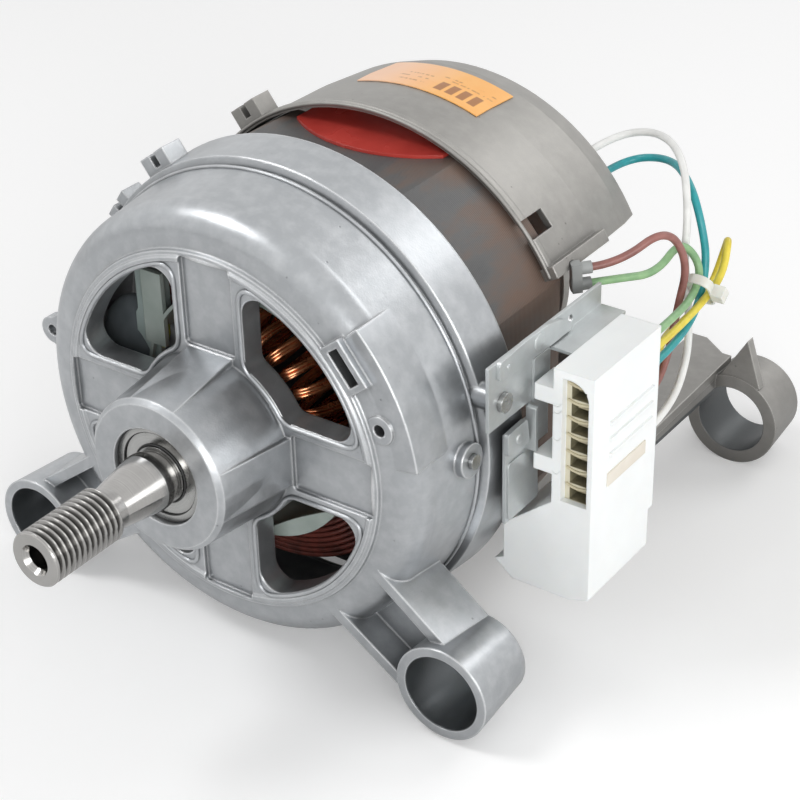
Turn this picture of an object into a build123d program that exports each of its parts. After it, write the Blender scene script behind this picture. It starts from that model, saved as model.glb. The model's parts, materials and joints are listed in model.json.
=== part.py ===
from build123d import *
import os
from math import atan2, cos, degrees, hypot, pi, radians, sin, sqrt, tan

os.makedirs("parts", exist_ok=True)

# Shared clearances
air_gap = 0.3
run_gap = 0.04
cut_over = 1.0
half = 0.5
quarters = 4
full_turn = 360.0
right_angle = 90.0
sides = (-1, 1)

# Shaft
shaft_tip_y = -55.0
groove_r = 9.5
groove_pitch = 2.34
groove_depth = 1.5
groove_count = 12
groove_land = 0.5
tip_land = 1.2
centre_hole_r = 4.2
centre_hole_depth = 20.0
centre_sink_r = 5.4
centre_sink_depth = 2.0
neck_r = 7.6
flare_start_y = -21.0
flare_end_y = -5.0
collar_r = 10.2
collar_end_y = -2.2
collar_step_r = 9.0
shaft_body_r = 8.4
core_shaft_r = 9.4
rear_journal_r = 6.0
shaft_stub_r = 5.0
shaft_tail = 13.0

# Bearings
front_ring_r = 17.5
front_ring_w = 11.0
front_journal_r = 7.5
front_setback = 2.0
rear_ring_r = 16.0
rear_ring_w = 10.0
inner_ring_share = 0.24
outer_ring_share = 0.24
ball_share = 0.30
ball_groove_gap = 0.3
ball_count = 8
cage_thick = 1.2
cage_width = 3.0
shield_thick = 0.4
shield_inset = 0.7
shield_lip = 0.5

# Front shield
hub_face_r = 27.5
hub_edge = 1.6
hub_foot_r = 30.5
hub_stop_r = 14.0
hub_stop_w = 3.0
hub_cavity_r = 23.5
plate_y = 31.0
plate_w = 5.5
hub_wall = 4.0
bead_r = 63.0
bead_half = 1.3
bead_rise = 0.7
window_inner_r = 32.6
window_outer_r = 60.5
window_half_gap = 14.3
window_corner_r = 7.0
window_inner_corner_r = 4.0
window_count = 4
window_wall = 3.6
window_wall_y = 40.0
panel_half = 10.5
panel_inner = 31.6
panel_outer_r = 63.6
panel_depth = 1.5
panel_corner_r = 1.5
ramp_half = 9.0
ramp_start = 26.2
ramp_start_y = 2.0
ramp_end_y = 31.4
ramp_end = 31.4
dish_face_r = 66.0
dish_face_y = 32.4
shoulder_start_r = 70.0
shoulder_start_y = 33.0
shoulder_mid_r = 76.9
shoulder_mid_y = 36.0
shoulder_end_r = 79.6
shoulder_end_y = 43.0
ridge_r = 81.9
ridge_y = 63.6
ridge_groove_r = 81.3
ridge_groove_y = 65.0
band_start_rise = 2.7
band_start_y = 66.2
band_end_rise = 4.2
band_end_y = 84.0
dish_wall = 3.6

# Front shield details
slot_frame_r = 68.8
slot_frame_deg = 38.0
slot_length = 13.0
slot_width = 4.4
slot_frame_wall = 2.3
slot_frame_y = 30.6
slot_frame_back_y = 41.0
pad_from_deg = 8.0
pad_to_deg = 44.0
pad_inner_r = 65.0
pad_outer_r = 80.4
pad_front_y = 33.2
pad_back_y = 55.0
face_screw_r = 69.8
face_screw_deg = 19.1
face_screw_hole_r = 2.1
face_screw_hole_depth = 14.0
face_boss_r = 5.0
face_boss_rise = 0.8
ear_x = 88.0
ear_z = 6.0
ear_y = 46.0
ear_thick = 4.5
ear_r = 5.2
ear_half_height = 13.0
ear_hole_r = 2.1
ear_root_x = 77.0
clip_deg = 127.0
clip_inner_r = 83.0
clip_rise = 9.5
clip_front_y = 70.0
clip_length = 9.0
clip_width = 13.0
clip_slot = 3.0
clip_slot_depth = 5.0
bump_deg = 146.0
bump_rise = 7.6
low_bump_deg = 205.0
low_bump_rise = 6.6
screw_pad_deg = 3.0
screw_pad_y = 58.0
screw_pad_r = 6.0
screw_pad_outer = 83.6
side_screw_r = 2.6
side_screw_rise = 1.6
side_screw_shank_r = 1.9
side_screw_shank = 6.0

# Mounting lugs and arms
lug_x = 90.0
lug_z = -68.0
lug_bore_r = 14.0
front_lug_y = 29.0
front_lug_length = 27.0
front_lug_front_r = 17.5
front_lug_back_r = 15.6
rear_lug_y = 233.7
rear_lug_length = 23.3
rear_lug_front_r = 19.3
rear_lug_back_r = 17.6
arm_root_r = 66.0
arm_low_root = 19.9
arm_high_root = 13.0
arm_low_tip = 17.4
arm_high_end = 104.0
arm_wall = 4.2
arm_web = 5.0
arm_web_y = 44.0
arm_front_y = 33.0
arm_back_y = 56.0

# Stator
stack_r = 82.0
stack_flat = 73.5
stack_y = 78.0
stack_length = 49.0
pole_bore_r = 39.0
slot_outer_r = 62.0
slot_half_deg = 24.0
register_gap = 0.15
bolt_ring_share = 0.93
bolt_r = 2.4
bolt_head_r = 4.2
bolt_head_h = 2.6
bolt_deg = 52.0

# Field coils
coil_inner_r = 45.0
coil_outer_r = 60.5
coil_leg_gap_deg = 2.5
coil_leg_deg = 18.0
coil_front_over = 22.0
coil_back_over = 13.0
coil_end_thick = 11.0
coil_end_gap = 0.4
frame_r = 43.2
frame_wall = 1.3
frame_front_over = 30.0
frame_margin_deg = 8.0
frame_tab_x = 40.0
frame_tab_w = 9.0
frame_tab_thick = 2.0
frame_tab_low = 14.0
frame_tab_high = 42.0
frame_back_gap = 0.3

# Red insulator
baffle_thick = 1.2
baffle_half_width = 31.0
baffle_shift = 0.5
baffle_front_y = 108.6
baffle_side_y = 119.5
baffle_back_y = 147.0

# Rotor
rotor_r = 38.0
rotor_slot_count = 24
rotor_slot_w = 2.2
rotor_slot_d = 1.2
wind_outer_r = 33.0
wind_inner_r = 22.0
wind_front_y = 45.6
wind_back_gap = 2.5
wire_r = 2.1
loop_count = 24
rear_wind_length = 13.0
rear_wind_outer_r = 34.0
rear_wind_inner_r = 13.0
sleeve_r = 12.0
sleeve_front_y = 43.0
comm_y = 146.0
comm_length = 20.0
comm_r = 20.0
comm_hub_r = 13.0
comm_bars = 24
comm_slot_w = 0.6
comm_slot_d = 1.5
riser_r = 23.0
riser_w = 3.0
magnet_r = 11.0
magnet_w = 8.0
magnet_from_wall = 3.0

# Rear shield
rim_inner_rise = 1.0
rim_y = 119.2
rim_outer_rise = 3.3
rim_w = 3.0
cover_start_rise = 2.5
cover_mid_rise = 2.0
cover_mid_y = 152.0
cover_high_rise = 0.4
cover_high_y = 172.0
cover_end_drop = 2.5
cover_end_y = 182.2
cover_round_drop = 5.0
rear_wall_y = 185.3
rear_wall_w = 3.8
cover_wall = 2.2
cover_low_deg = 28.0
cover_high_deg = 150.0
low_cover_from_deg = 224.0
low_cover_to_deg = 316.0
strip_low_deg = 28.0
strip_high_deg = 31.0
edge_strip_rise = 5.6
edge_strip_end = 153.0
cover_notch_deg = 40.5
cover_notch_width_deg = 5.0
cover_notch_y = 133.0
cover_tab_rise = 10.0
rear_hub_r = 21.0
rear_hub_y = 171.0
rear_stop_w = 3.0
rear_stop_r = 12.5
rear_core_r = 43.0
rear_bar_half = 11.0
rear_bar_reach = 80.0
rear_vent_inner_r = 50.0
rear_vent_outer_r = 70.0
rear_vent_deg = 16.0
rear_vent_count = 4
rear_vent_step_deg = 24.0
rear_vent_first_deg = 54.0
arm_flange_z = -50.0
arm_flange_w = 4.0
arm_flange_in = 60.0
arm_flange_out = 83.5
arm_flange_tip = 82.0
arm_flange_notch = 78.0
arm_flange_mid = 67.0
arm_flange_tip_y = 247.0
arm_flange_end = 255.0
arm_web_in = 62.0
arm_web_w = 4.0
arm_web_low = -62.0
arm_lip_w = 3.0
arm_lip_low = -58.0
arm_root_low = -60.0
gusset_y = 234.0
gusset_w = 4.0
gusset_in = 80.5
gusset_in_z = -55.7
gusset_out = 101.0
gusset_out_z = -51.2
gusset_top = 94.6
gusset_top_z = -31.4

# Label
label_thick = 0.4
label_seat = 0.08
label_low_deg = 70.0
label_high_deg = 105.0
label_y = 144.0
label_length = 24.0

# Brush gear
brush_x = 6.4
brush_y = 12.6
brush_length = 26.0
brush_gap = 0.3
holder_wall = 1.6
holder_gap = 0.3
holder_start = 23.6
holder_cap = 2.0
spring_wire_r = 0.45
spring_r = 2.3
spring_turns = 8
spring_room = 14.0
foot_from_centre = 30.0
foot_length = 24.0

# Speed sensor
sensor_inner_r = 13.0
sensor_outer_r = 20.0
sensor_w = 10.0
sensor_cap_w = 2.2

# Steel bracket
bracket_x = 87.2
bracket_thick = 1.2
strip_y = 67.0
strip_length = 62.0
strip_low = 29.5
strip_high = 38.5
strip_mark_y = 109.0
strip_mark_r = 1.5
drop_y = 84.0
drop_w = 12.0
drop_low = -3.0
block_y = 60.0
block_length = 24.0
block_low = 15.0
tongue_y = 71.0
tongue_low = -2.0
tongue_high = 9.0
low_plate_y = 70.0
low_plate_length = 20.0
low_plate_low = -25.0
oval_y = 79.0
oval_z = -17.0
oval_r = 2.0
oval_half = 3.5
bracket_pad_y = 68.0
bracket_pad_z = 23.0
bracket_pad_r = 4.2
bracket_pad_root = 81.0
bracket_screw_r = 3.4
bracket_screw_rise = 1.8
bracket_screw_shank_r = 1.8

# Terminal housing
house_x = 98.0
house_w = 15.0
house_y = 83.0
house_length = 43.0
house_top = 31.0
house_low = -40.0
house_wall = 1.8
cavity_count = 7
cavity_pitch = 6.4
cavity_top = 26.0
cavity_w = 7.0
cavity_h = 5.2
cavity_depth = 20.0
cavity_side = 2.6
recess_in = 3.4
recess_side = 1.8
recess_over = 2.2
recess_round = 7.0
recess_depth = 2.6
hood_in = 76.0
hood_toe = 83.2
hood_mid = 79.5
hood_top = -35.0
hood_low = -57.0
hood_edge_low = -51.0
hood_out_low = -54.5
hood_length = 40.0
hook_w = 7.0
hook_length = 12.0
hook_h = 6.0
hook_high = 17.5
hook_low = -9.0
rib_rise = 0.8
rib_w = 1.4
rib_length = 28.0
rib_z = (9.0, 3.0, -3.0)
rib_y = 94.0
insert_y = 93.0
insert_length = 25.0
insert_h = 5.0
insert_z = -14.0
insert_rise = 0.5
pin_w = 4.8
pin_h = 0.8
pin_length = 15.0

# Leads
wire_d = 2.8
route_share = 0.45
lead_start = (82.0, 133.0, 41.0)
lead_turn = (89.0, 140.0, 41.5)
green_drop = 6.0
sleeve_length = 7.0
sleeve_tube_r = 2.2
tie_centre = (104.0, 172.5, 21.2)
tie_dir = (0.0, -0.8, -0.6)
tie_half_x = 3.8
tie_half_y = 6.9
tie_wall = 0.8
tie_width = 3.4
tie_head = 4.6
white_route = [
    (49.0, rear_wall_y, 55.0), (49.0, 204.3, 55.0), (67.5, 203.5, 61.5), (86.0, 188.0, 62.0),
    (94.5, 177.5, 46.0), (95.8, 173.5, 30.0), (96.9, 177.0, 12.5), (105.0, 163.0, -1.0),
    (108.5, 144.0, -12.0), (108.5, house_y + house_length, -12.0),
]
teal_route = [
    (54.0, rear_wall_y, 47.0), (54.0, 204.0, 47.0), (73.0, 203.0, 52.5), (90.0, 186.0, 54.0),
    (98.0, 181.0, 42.0), (101.5, 180.5, 27.0), (103.0, 171.0, 11.5),
    (106.0, 145.0, 9.5), (106.0, house_y + house_length, 9.5),
]
brown_route = [
    lead_start, lead_turn, (99.0, 153.5, 52.0), (101.5, 166.0, 34.0),
    (99.5, 163.0, 16.0), (101.0, 155.0, 1.0), (103.0, 141.0, -5.5), (103.0, house_y + house_length, -5.5),
]
green_route = [
    (lead_start[0], lead_start[1], lead_start[2] - green_drop),
    (lead_turn[0], lead_turn[1], lead_turn[2] - green_drop),
    (95.0, 155.0, 32.5), (96.0, 170.0, 39.5), (102.0, 175.5, 28.5), (104.0, 166.0, 21.0),
    (106.0, 145.0, 21.5), (106.0, house_y + house_length, 21.5),
]
yellow_route = [
    (106.0, house_y + house_length, 15.5), (106.0, 144.0, 15.5), (105.5, 168.0, 17.0), (106.0, 184.0, 22.0),
    (104.0, 191.0, 34.0), (100.0, 197.0, 26.0), (97.5, 194.0, 12.0), (96.5, 180.0, 5.0),
    (96.0, 162.0, 6.0), (101.0, 144.0, 3.5), (101.0, house_y + house_length, 3.5),
]

# Derived places
house_end = house_y + house_length
front_ring_y = front_setback
front_ring_end = front_ring_y + front_ring_w
stack_end = stack_y + stack_length
rear_wall_front = rear_wall_y - rear_wall_w
band_start_r = stack_r + band_start_rise
band_end_r = stack_r + band_end_rise
clip_outer_r = stack_r + clip_rise
bump_outer_r = stack_r + bump_rise
low_bump_outer_r = stack_r + low_bump_rise
rim_inner_r = stack_r + rim_inner_rise
rim_outer_r = stack_r + rim_outer_rise
cover_start_r = stack_r + cover_start_rise
cover_mid_r = stack_r + cover_mid_rise
cover_high_r = stack_r + cover_high_rise
cover_end_r = stack_r - cover_end_drop
cover_round_r = stack_r - cover_round_drop
edge_strip_r = stack_r + edge_strip_rise
cover_tab_outer_r = stack_r + cover_tab_rise
rear_ring_y = rear_hub_y + rear_stop_w
rear_ring_end = rear_ring_y + rear_ring_w
groove_end_y = shaft_tip_y + tip_land + groove_count * groove_pitch
shaft_end_y = rear_wall_y + shaft_tail
arm_deg = degrees(atan2(lug_z, lug_x))
lug_far = hypot(lug_x, lug_z)


def turned(points):
    return revolve(make_face(Polyline(*points, close=True)), axis=Axis.Y)


def tube(outer, inner, low, high):
    return turned([(inner, low), (outer, low), (outer, high), (inner, high)])


def rod(radius, low, high):
    return tube(radius, 0, low, high)


def slab(face, low, high):
    place = Plane.XZ.offset(-low)
    return extrude(place * face, amount=high - low, dir=(0, 1, 0))


def block(x_low, x_high, y_low, y_high, z_low, z_high):
    box = Box(x_high - x_low, y_high - y_low, z_high - z_low)
    middle = ((x_low + x_high) * half, (y_low + y_high) * half, (z_low + z_high) * half)
    return Pos(*middle) * box


def outline(points):
    return make_face(Polyline(*points, close=True))


def sector(radius, low_deg, high_deg):
    start = (radius * cos(radians(low_deg)), radius * sin(radians(low_deg)))
    arc = CenterArc((0, 0), radius, low_deg, high_deg - low_deg)
    finish = (radius * cos(radians(high_deg)), radius * sin(radians(high_deg)))
    return make_face([Line((0, 0), start), arc, Line(finish, (0, 0))])


def ring_sector(outer, inner, low_deg, high_deg):
    return sector(outer, low_deg, high_deg) - Circle(inner)


def upright(radius, x, z, low, high):
    return slab(Pos(x, z) * Circle(radius), low, high)


def spun(shape, angle):
    return Rot(0, -angle, 0) * shape


def flipped(shape):
    return mirror(shape, about=Plane.YZ)


def keep(shape, name):
    if isinstance(shape, (list, ShapeList)):
        shape = Compound(children=list(shape))
    export_step(shape, "parts/" + name + ".step")
    print(name, len(shape.solids()), round(shape.volume))


# Front shield
def window_face():
    ring = Circle(window_outer_r) - Circle(window_inner_r)
    corner = Pos(window_half_gap, window_half_gap) * Rectangle(
        stack_r, stack_r, align=(Align.MIN, Align.MIN))
    face = ring & corner
    far = [v for v in face.vertices() if hypot(v.X, v.Y) > (window_inner_r + window_outer_r) * half]
    near = [v for v in face.vertices() if hypot(v.X, v.Y) <= (window_inner_r + window_outer_r) * half]
    face = fillet(far, window_corner_r)
    near = [v for v in face.vertices() if hypot(v.X, v.Y) < window_inner_r + cut_over]
    return fillet(near, window_inner_corner_r)


def shield_body():
    edge = Polyline(
        (front_ring_r, 0),
        (hub_face_r - hub_edge, 0),
        (hub_face_r, hub_edge),
        (hub_foot_r, plate_y),
        (bead_r + bead_half + bead_half, plate_y),
        (dish_face_r, dish_face_y),
        (shoulder_start_r, shoulder_start_y),
    )
    shoulder = ThreePointArc(
        (shoulder_start_r, shoulder_start_y),
        (shoulder_mid_r, shoulder_mid_y),
        (shoulder_end_r, shoulder_end_y),
    )
    rest = Polyline(
        (shoulder_end_r, shoulder_end_y),
        (ridge_r, ridge_y),
        (ridge_groove_r, ridge_groove_y),
        (band_start_r, band_start_y),
        (band_end_r, band_end_y),
        (stack_r + register_gap, band_end_y),
        (stack_r + register_gap, stack_y),
        (ridge_r - dish_wall, stack_y),
        (ridge_r - dish_wall, ridge_y),
        (shoulder_end_r - dish_wall, shoulder_end_y + dish_wall),
        (shoulder_start_r, shoulder_start_y + dish_wall + cut_over),
        (dish_face_r, plate_y + plate_w),
        (hub_foot_r - hub_wall, plate_y + plate_w),
        (hub_cavity_r, front_ring_end + hub_stop_w),
        (hub_stop_r, front_ring_end + hub_stop_w),
        (hub_stop_r, front_ring_end),
        (front_ring_r, front_ring_end),
        (front_ring_r, 0),
    )
    return revolve(make_face([edge, shoulder, rest]), axis=Axis.Y)


def ramp():
    side = outline([
        (ramp_start_y, hub_stop_r + dish_wall),
        (ramp_start_y, ramp_start),
        (ramp_end_y, ramp_end),
        (ramp_end_y, hub_cavity_r + hub_wall),
        (front_ring_end + hub_stop_w, hub_cavity_r + cut_over),
    ])
    return extrude(Plane.YZ.offset(-ramp_half) * side, amount=ramp_half * 2)


def panel_cut():
    face = Rectangle(panel_half * 2, panel_outer_r - panel_inner)
    face = Pos(0, (panel_outer_r + panel_inner) * half) * fillet(face.vertices(), panel_corner_r)
    return slab(face, plate_y - cut_over, plate_y + panel_depth)


def lug_arm():
    tip = lug_far
    walls = []
    low = [
        (arm_root_r, -arm_low_root), (tip, -arm_low_tip), (tip, arm_wall - arm_low_tip),
        (arm_root_r, arm_wall - arm_low_root)]
    high = [
        (arm_root_r, arm_high_root), (arm_high_end, arm_high_root), (arm_high_end, arm_high_root - arm_wall),
        (arm_root_r, arm_high_root - arm_wall)]
    web = [
        (arm_root_r, -arm_low_root), (tip, -arm_low_tip), (arm_high_end, arm_high_root),
        (arm_root_r, arm_high_root)]
    walls.append(slab(outline(low), arm_front_y, arm_back_y))
    walls.append(slab(outline(high), arm_front_y, arm_back_y))
    walls.append(slab(outline(web), arm_web_y, arm_web_y + arm_web))
    arm = walls[0] + walls[1] + walls[2]
    return spun(arm, arm_deg)


def lug_cone(y, length, front_r, back_r):
    profile = [(0, y), (front_r, y), (back_r, y + length), (0, y + length)]
    return Pos(lug_x, 0, lug_z) * turned(profile)


def clip_block(angle, front_y, outer_r):
    shape = block(
        clip_inner_r, outer_r, front_y, front_y + clip_length, -clip_width * half, clip_width * half)
    slot = block(
        outer_r - clip_slot_depth, outer_r + cut_over, front_y - cut_over, front_y + clip_length + cut_over,
        -clip_slot * half, clip_slot * half)
    return spun(shape - slot, angle)


def slot_frame():
    outer_half = slot_length * half + slot_frame_wall
    wide = slot_width * half + slot_frame_wall
    return spun(block(
        slot_frame_r - wide, slot_frame_r + wide, slot_frame_y, slot_frame_back_y,
        -outer_half, outer_half), slot_frame_deg)


def slot_hole():
    return spun(block(
        slot_frame_r - slot_width * half, slot_frame_r + slot_width * half,
        slot_frame_y - cut_over, ridge_y, -slot_length * half, slot_length * half), slot_frame_deg)


def ear():
    plate = outline([
        (-ear_root_x, ear_half_height + ear_z), (-ear_x, ear_z + ear_r), (-ear_x - ear_r, ear_z),
        (-ear_x, ear_z - ear_r), (-ear_root_x, ear_z - ear_half_height)])
    eye = Pos(-ear_x, ear_z) * Circle(ear_r)
    hole = Pos(-ear_x, ear_z) * Circle(ear_hole_r)
    return slab(plate + eye - hole, ear_y, ear_y + ear_thick)


def polar(radius, angle):
    return radius * cos(radians(angle)), radius * sin(radians(angle))


def front_shield():
    body = shield_body()
    bead = turned([
        (bead_r - bead_half, plate_y + bead_rise), (bead_r - bead_half, plate_y),
        (bead_r - bead_half * half, plate_y - bead_rise), (bead_r + bead_half * half, plate_y - bead_rise),
        (bead_r + bead_half, plate_y), (bead_r + bead_half, plate_y + bead_rise)])
    window = window_face()
    collar = slab(offset(window, window_wall), plate_y, window_wall_y)
    opening = slab(window, ramp_start_y, window_wall_y + cut_over)
    quarter = [spun(collar, turn * right_angle) for turn in range(window_count)]
    body = body + bead
    for piece in quarter:
        body += piece
    step = ramp()
    for turn in range(window_count):
        body += spun(step, turn * right_angle - right_angle)
    sector_pad = slab(
        ring_sector(pad_outer_r, pad_inner_r, pad_from_deg, pad_to_deg), pad_front_y, pad_back_y)
    body += sector_pad
    body += slot_frame()
    x, z = polar(face_screw_r, face_screw_deg)
    body += upright(face_boss_r, x, z, pad_front_y - face_boss_rise, pad_back_y)
    body += ear()
    body += clip_block(clip_deg, clip_front_y, clip_outer_r)
    body += clip_block(bump_deg, clip_front_y, bump_outer_r)
    body += clip_block(low_bump_deg, clip_front_y, low_bump_outer_r)
    arm = lug_arm()
    lug = lug_cone(front_lug_y, front_lug_length, front_lug_front_r, front_lug_back_r)
    for piece in (arm, lug):
        body += piece
        body += flipped(piece)
    pad = Rot(0, 0, -right_angle) * rod(screw_pad_r, shoulder_end_r - dish_wall, screw_pad_outer)
    body += spun(Pos(0, screw_pad_y, 0) * pad, screw_pad_deg)
    boss = Rot(0, 0, -right_angle) * rod(bracket_pad_r, bracket_pad_root - dish_wall, bracket_x)
    body += Pos(0, bracket_pad_y, bracket_pad_z) * boss
    inside = turned([
        (0, front_ring_end + hub_stop_w), (hub_cavity_r, front_ring_end + hub_stop_w),
        (hub_foot_r - hub_wall, plate_y + plate_w), (0, plate_y + plate_w)])
    body -= inside
    cavity = turned([
        (0, window_wall_y), (shoulder_start_r, window_wall_y), (
            shoulder_end_r - dish_wall, shoulder_end_y + dish_wall),
        (ridge_r - dish_wall, ridge_y), (ridge_r - dish_wall, stack_y), (0, stack_y)])
    body -= cavity
    body -= rod(stack_r + register_gap, stack_y, band_end_y + cut_over)
    for turn in range(window_count):
        body -= spun(opening, turn * right_angle)
        body -= spun(panel_cut(), turn * right_angle)
    body -= slot_hole()
    body -= upright(face_screw_hole_r, x, z, slot_frame_y, slot_frame_y + face_screw_hole_depth)
    bore = rod(lug_bore_r, front_lug_y - cut_over, arm_back_y + cut_over)
    for side in sides:
        body -= Pos(side * lug_x, 0, lug_z) * bore
    shank = Rot(0, 0, -right_angle) * rod(
        side_screw_shank_r + run_gap, screw_pad_outer - side_screw_shank, screw_pad_outer + cut_over)
    body -= spun(Pos(0, screw_pad_y, 0) * shank, screw_pad_deg)
    shank = Rot(0, 0, -right_angle) * rod(
        bracket_screw_shank_r + run_gap, bracket_x - side_screw_shank, bracket_x + cut_over)
    body -= Pos(0, bracket_pad_y, bracket_pad_z) * shank
    return body


# Stator
def bolt_places():
    spread = stack_r * bolt_ring_share
    return [polar(spread, bolt_deg * side + base) for base in (0, full_turn * half) for side in sides]


def stator_core():
    face = Circle(stack_r) & Rectangle(stack_flat * 2, stack_flat * 2)
    face -= Circle(pole_bore_r)
    for base in (0, full_turn * half):
        face -= ring_sector(slot_outer_r, pole_bore_r - cut_over, base - slot_half_deg, base + slot_half_deg)
    for x, z in bolt_places():
        face -= Pos(x, z) * Circle(bolt_r + air_gap)
    return slab(face, stack_y, stack_end)


def stack_bolts():
    bolts = []
    for x, z in bolt_places():
        head = upright(bolt_head_r, x, z, stack_end, stack_end + bolt_head_h)
        bolts.append(head + upright(bolt_r, x, z, stack_y, stack_end))
    return bolts


def field_coil():
    front = stack_y - coil_end_gap
    back = stack_end + coil_end_gap
    span = full_turn * half - coil_leg_gap_deg
    turn_front = slab(
        ring_sector(coil_outer_r, coil_inner_r, coil_leg_gap_deg, span), front - coil_front_over,
        front - coil_front_over + coil_end_thick)
    turn_back = slab(
        ring_sector(coil_outer_r, coil_inner_r, coil_leg_gap_deg, span),
        back + coil_back_over - coil_end_thick, back + coil_back_over)
    leg = slab(
        ring_sector(coil_outer_r, coil_inner_r, coil_leg_gap_deg, coil_leg_gap_deg + coil_leg_deg),
        front - coil_front_over, back + coil_back_over)
    return turn_front + turn_back + leg + flipped(leg)


def coil_frame():
    low = frame_margin_deg
    high = full_turn * half - frame_margin_deg
    shell = slab(
        ring_sector(frame_r + frame_wall, frame_r, low, high), stack_y - frame_front_over,
        stack_y - frame_back_gap)
    tab = block(
        -frame_tab_x - frame_tab_w * half, -frame_tab_x + frame_tab_w * half,
        stack_y - frame_front_over, stack_y - frame_front_over + frame_tab_thick,
        frame_tab_low, frame_tab_high)
    return shell + tab


def red_baffle():
    low = baffle_shift - baffle_half_width
    high = baffle_shift + baffle_half_width
    edge = ThreePointArc((low, baffle_side_y), (baffle_shift, baffle_front_y), (high, baffle_side_y))
    rest = Polyline((high, baffle_side_y), (high, baffle_back_y), (low, baffle_back_y), (low, baffle_side_y))
    return extrude(Plane.XY.offset(stack_flat) * make_face([edge, rest]), amount=baffle_thick)


# Rotor
def rotor_shaft():
    points = [
        (0, shaft_tip_y), (groove_r - tip_land * half, shaft_tip_y),
        (groove_r, shaft_tip_y + tip_land * half)]
    for index in range(groove_count):
        start = shaft_tip_y + tip_land + index * groove_pitch
        points.append((groove_r, start))
        points.append((groove_r - groove_depth, start + (groove_pitch - groove_land) * half))
        points.append((groove_r, start + groove_pitch - groove_land))
    points += [
        (groove_r, groove_end_y), (neck_r, groove_end_y + tip_land), (neck_r, flare_start_y),
        (collar_r, flare_end_y), (collar_r, collar_end_y), (collar_step_r, collar_end_y),
        (collar_step_r, front_ring_y), (front_journal_r, front_ring_y), (front_journal_r, front_ring_end),
        (shaft_body_r, front_ring_end), (shaft_body_r, sleeve_front_y), (core_shaft_r, sleeve_front_y),
        (core_shaft_r, comm_y + comm_length), (rear_journal_r + cut_over, comm_y + comm_length),
        (rear_journal_r + cut_over, rear_ring_y), (rear_journal_r, rear_ring_y), (
            rear_journal_r, rear_ring_end),
        (shaft_stub_r, rear_ring_end), (shaft_stub_r, shaft_end_y), (0, shaft_end_y)]
    shaft = turned(points)
    hole = turned([
        (0, shaft_tip_y - cut_over), (centre_sink_r, shaft_tip_y - cut_over), (centre_sink_r, shaft_tip_y),
        (centre_hole_r, shaft_tip_y + centre_sink_depth), (centre_hole_r, shaft_tip_y + centre_hole_depth),
        (0, shaft_tip_y + centre_hole_depth + centre_hole_r)])
    return shaft - hole


def ring_sizes(outer, inner):
    depth = outer - inner
    low = inner + depth * inner_ring_share
    high = outer - depth * outer_ring_share
    return low, high, (low + high) * half, depth * ball_share


def bearing_inner(outer, inner, y, width):
    low, high, pitch, ball = ring_sizes(outer, inner)
    ring = tube(low, inner, y, y + width)
    groove = revolve(Pos(pitch, y + width * half) * Circle(ball + ball_groove_gap), axis=Axis.Y)
    return ring - groove


def bearing_outer(outer, inner, y, width):
    low, high, pitch, ball = ring_sizes(outer, inner)
    ring = tube(outer, high, y, y + width)
    groove = revolve(Pos(pitch, y + width * half) * Circle(ball + ball_groove_gap), axis=Axis.Y)
    return ring - groove


def bearing_balls(outer, inner, y, width):
    low, high, pitch, ball = ring_sizes(outer, inner)
    middle = y + width * half
    shape = tube(
        pitch + cage_thick * half, pitch - cage_thick * half, middle - cage_width * half,
        middle + cage_width * half)
    for index in range(ball_count):
        shape += spun(Pos(pitch, middle, 0) * Sphere(ball), index * full_turn / ball_count)
    return shape


def bearing_shields(outer, inner, y, width):
    low, high, pitch, ball = ring_sizes(outer, inner)
    near = tube(high, low + shield_lip, y + shield_inset, y + shield_inset + shield_thick)
    far = tube(high, low + shield_lip, y + width - shield_inset - shield_thick, y + width - shield_inset)
    return [near, far]


def rotor_core():
    core = tube(rotor_r, core_shaft_r, stack_y, stack_end)
    cut = block(
        rotor_r - rotor_slot_d, rotor_r + cut_over, stack_y - cut_over, stack_end + cut_over,
        -rotor_slot_w * half, rotor_slot_w * half)
    for index in range(rotor_slot_count):
        core -= spun(cut, index * full_turn / rotor_slot_count)
    return core


def shaft_sleeve():
    return tube(sleeve_r, core_shaft_r, sleeve_front_y, stack_y)


def loop_stations():
    middle = (wind_front_y + stack_y - wind_back_gap) * half
    mean = (wind_outer_r + wind_inner_r) * half
    places = [
        (wind_outer_r, middle, 0, -1), (mean, wind_front_y, -1, 0),
        (wind_inner_r, middle, 0, 1), (mean, stack_y - wind_back_gap, 1, 0)]
    step = 2 * pi / loop_count / quarters
    count = loop_count * quarters - 2
    stations = []
    for index in range(count + 1):
        radius, y, go_r, go_y = places[index % quarters]
        angle = index * step
        lean = radius * step / hypot(wind_outer_r - wind_inner_r, stack_y - wind_front_y) * 2
        along = Vector(go_r * cos(angle) - lean * sin(angle), go_y, go_r * sin(angle) + lean * cos(angle))
        stations.append((Vector(radius * cos(angle), y, radius * sin(angle)), along.normalized()))
    return stations


def joined_arcs(start, first, finish, last):
    chord = finish - start
    total = first + last
    bend = 2 * (1 - first.dot(last))
    reach = (-chord.dot(total) + sqrt(chord.dot(total) ** 2 + bend * chord.dot(chord))) / bend
    middle = (start + finish + (first - last) * reach) * half
    one = Edge.make_tangent_arc(start, first, middle)
    two = Edge.make_tangent_arc(middle, one.tangent_at(1), finish)
    return [one, two]


def least_gap(wire_path, radius, samples, skip):
    points = [wire_path.position_at(index / samples) for index in range(samples + 1)]
    least = None
    for index, point in enumerate(points):
        for other in points[index + skip:]:
            distance = (point - other).length
            if least is None or distance < least:
                least = distance
    return least - 2 * radius


def arc_path(stations):
    edges = []
    for (start, first), (finish, last) in zip(stations, stations[1:]):
        edges += joined_arcs(start, first, finish, last)
    return Wire(edges)


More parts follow.
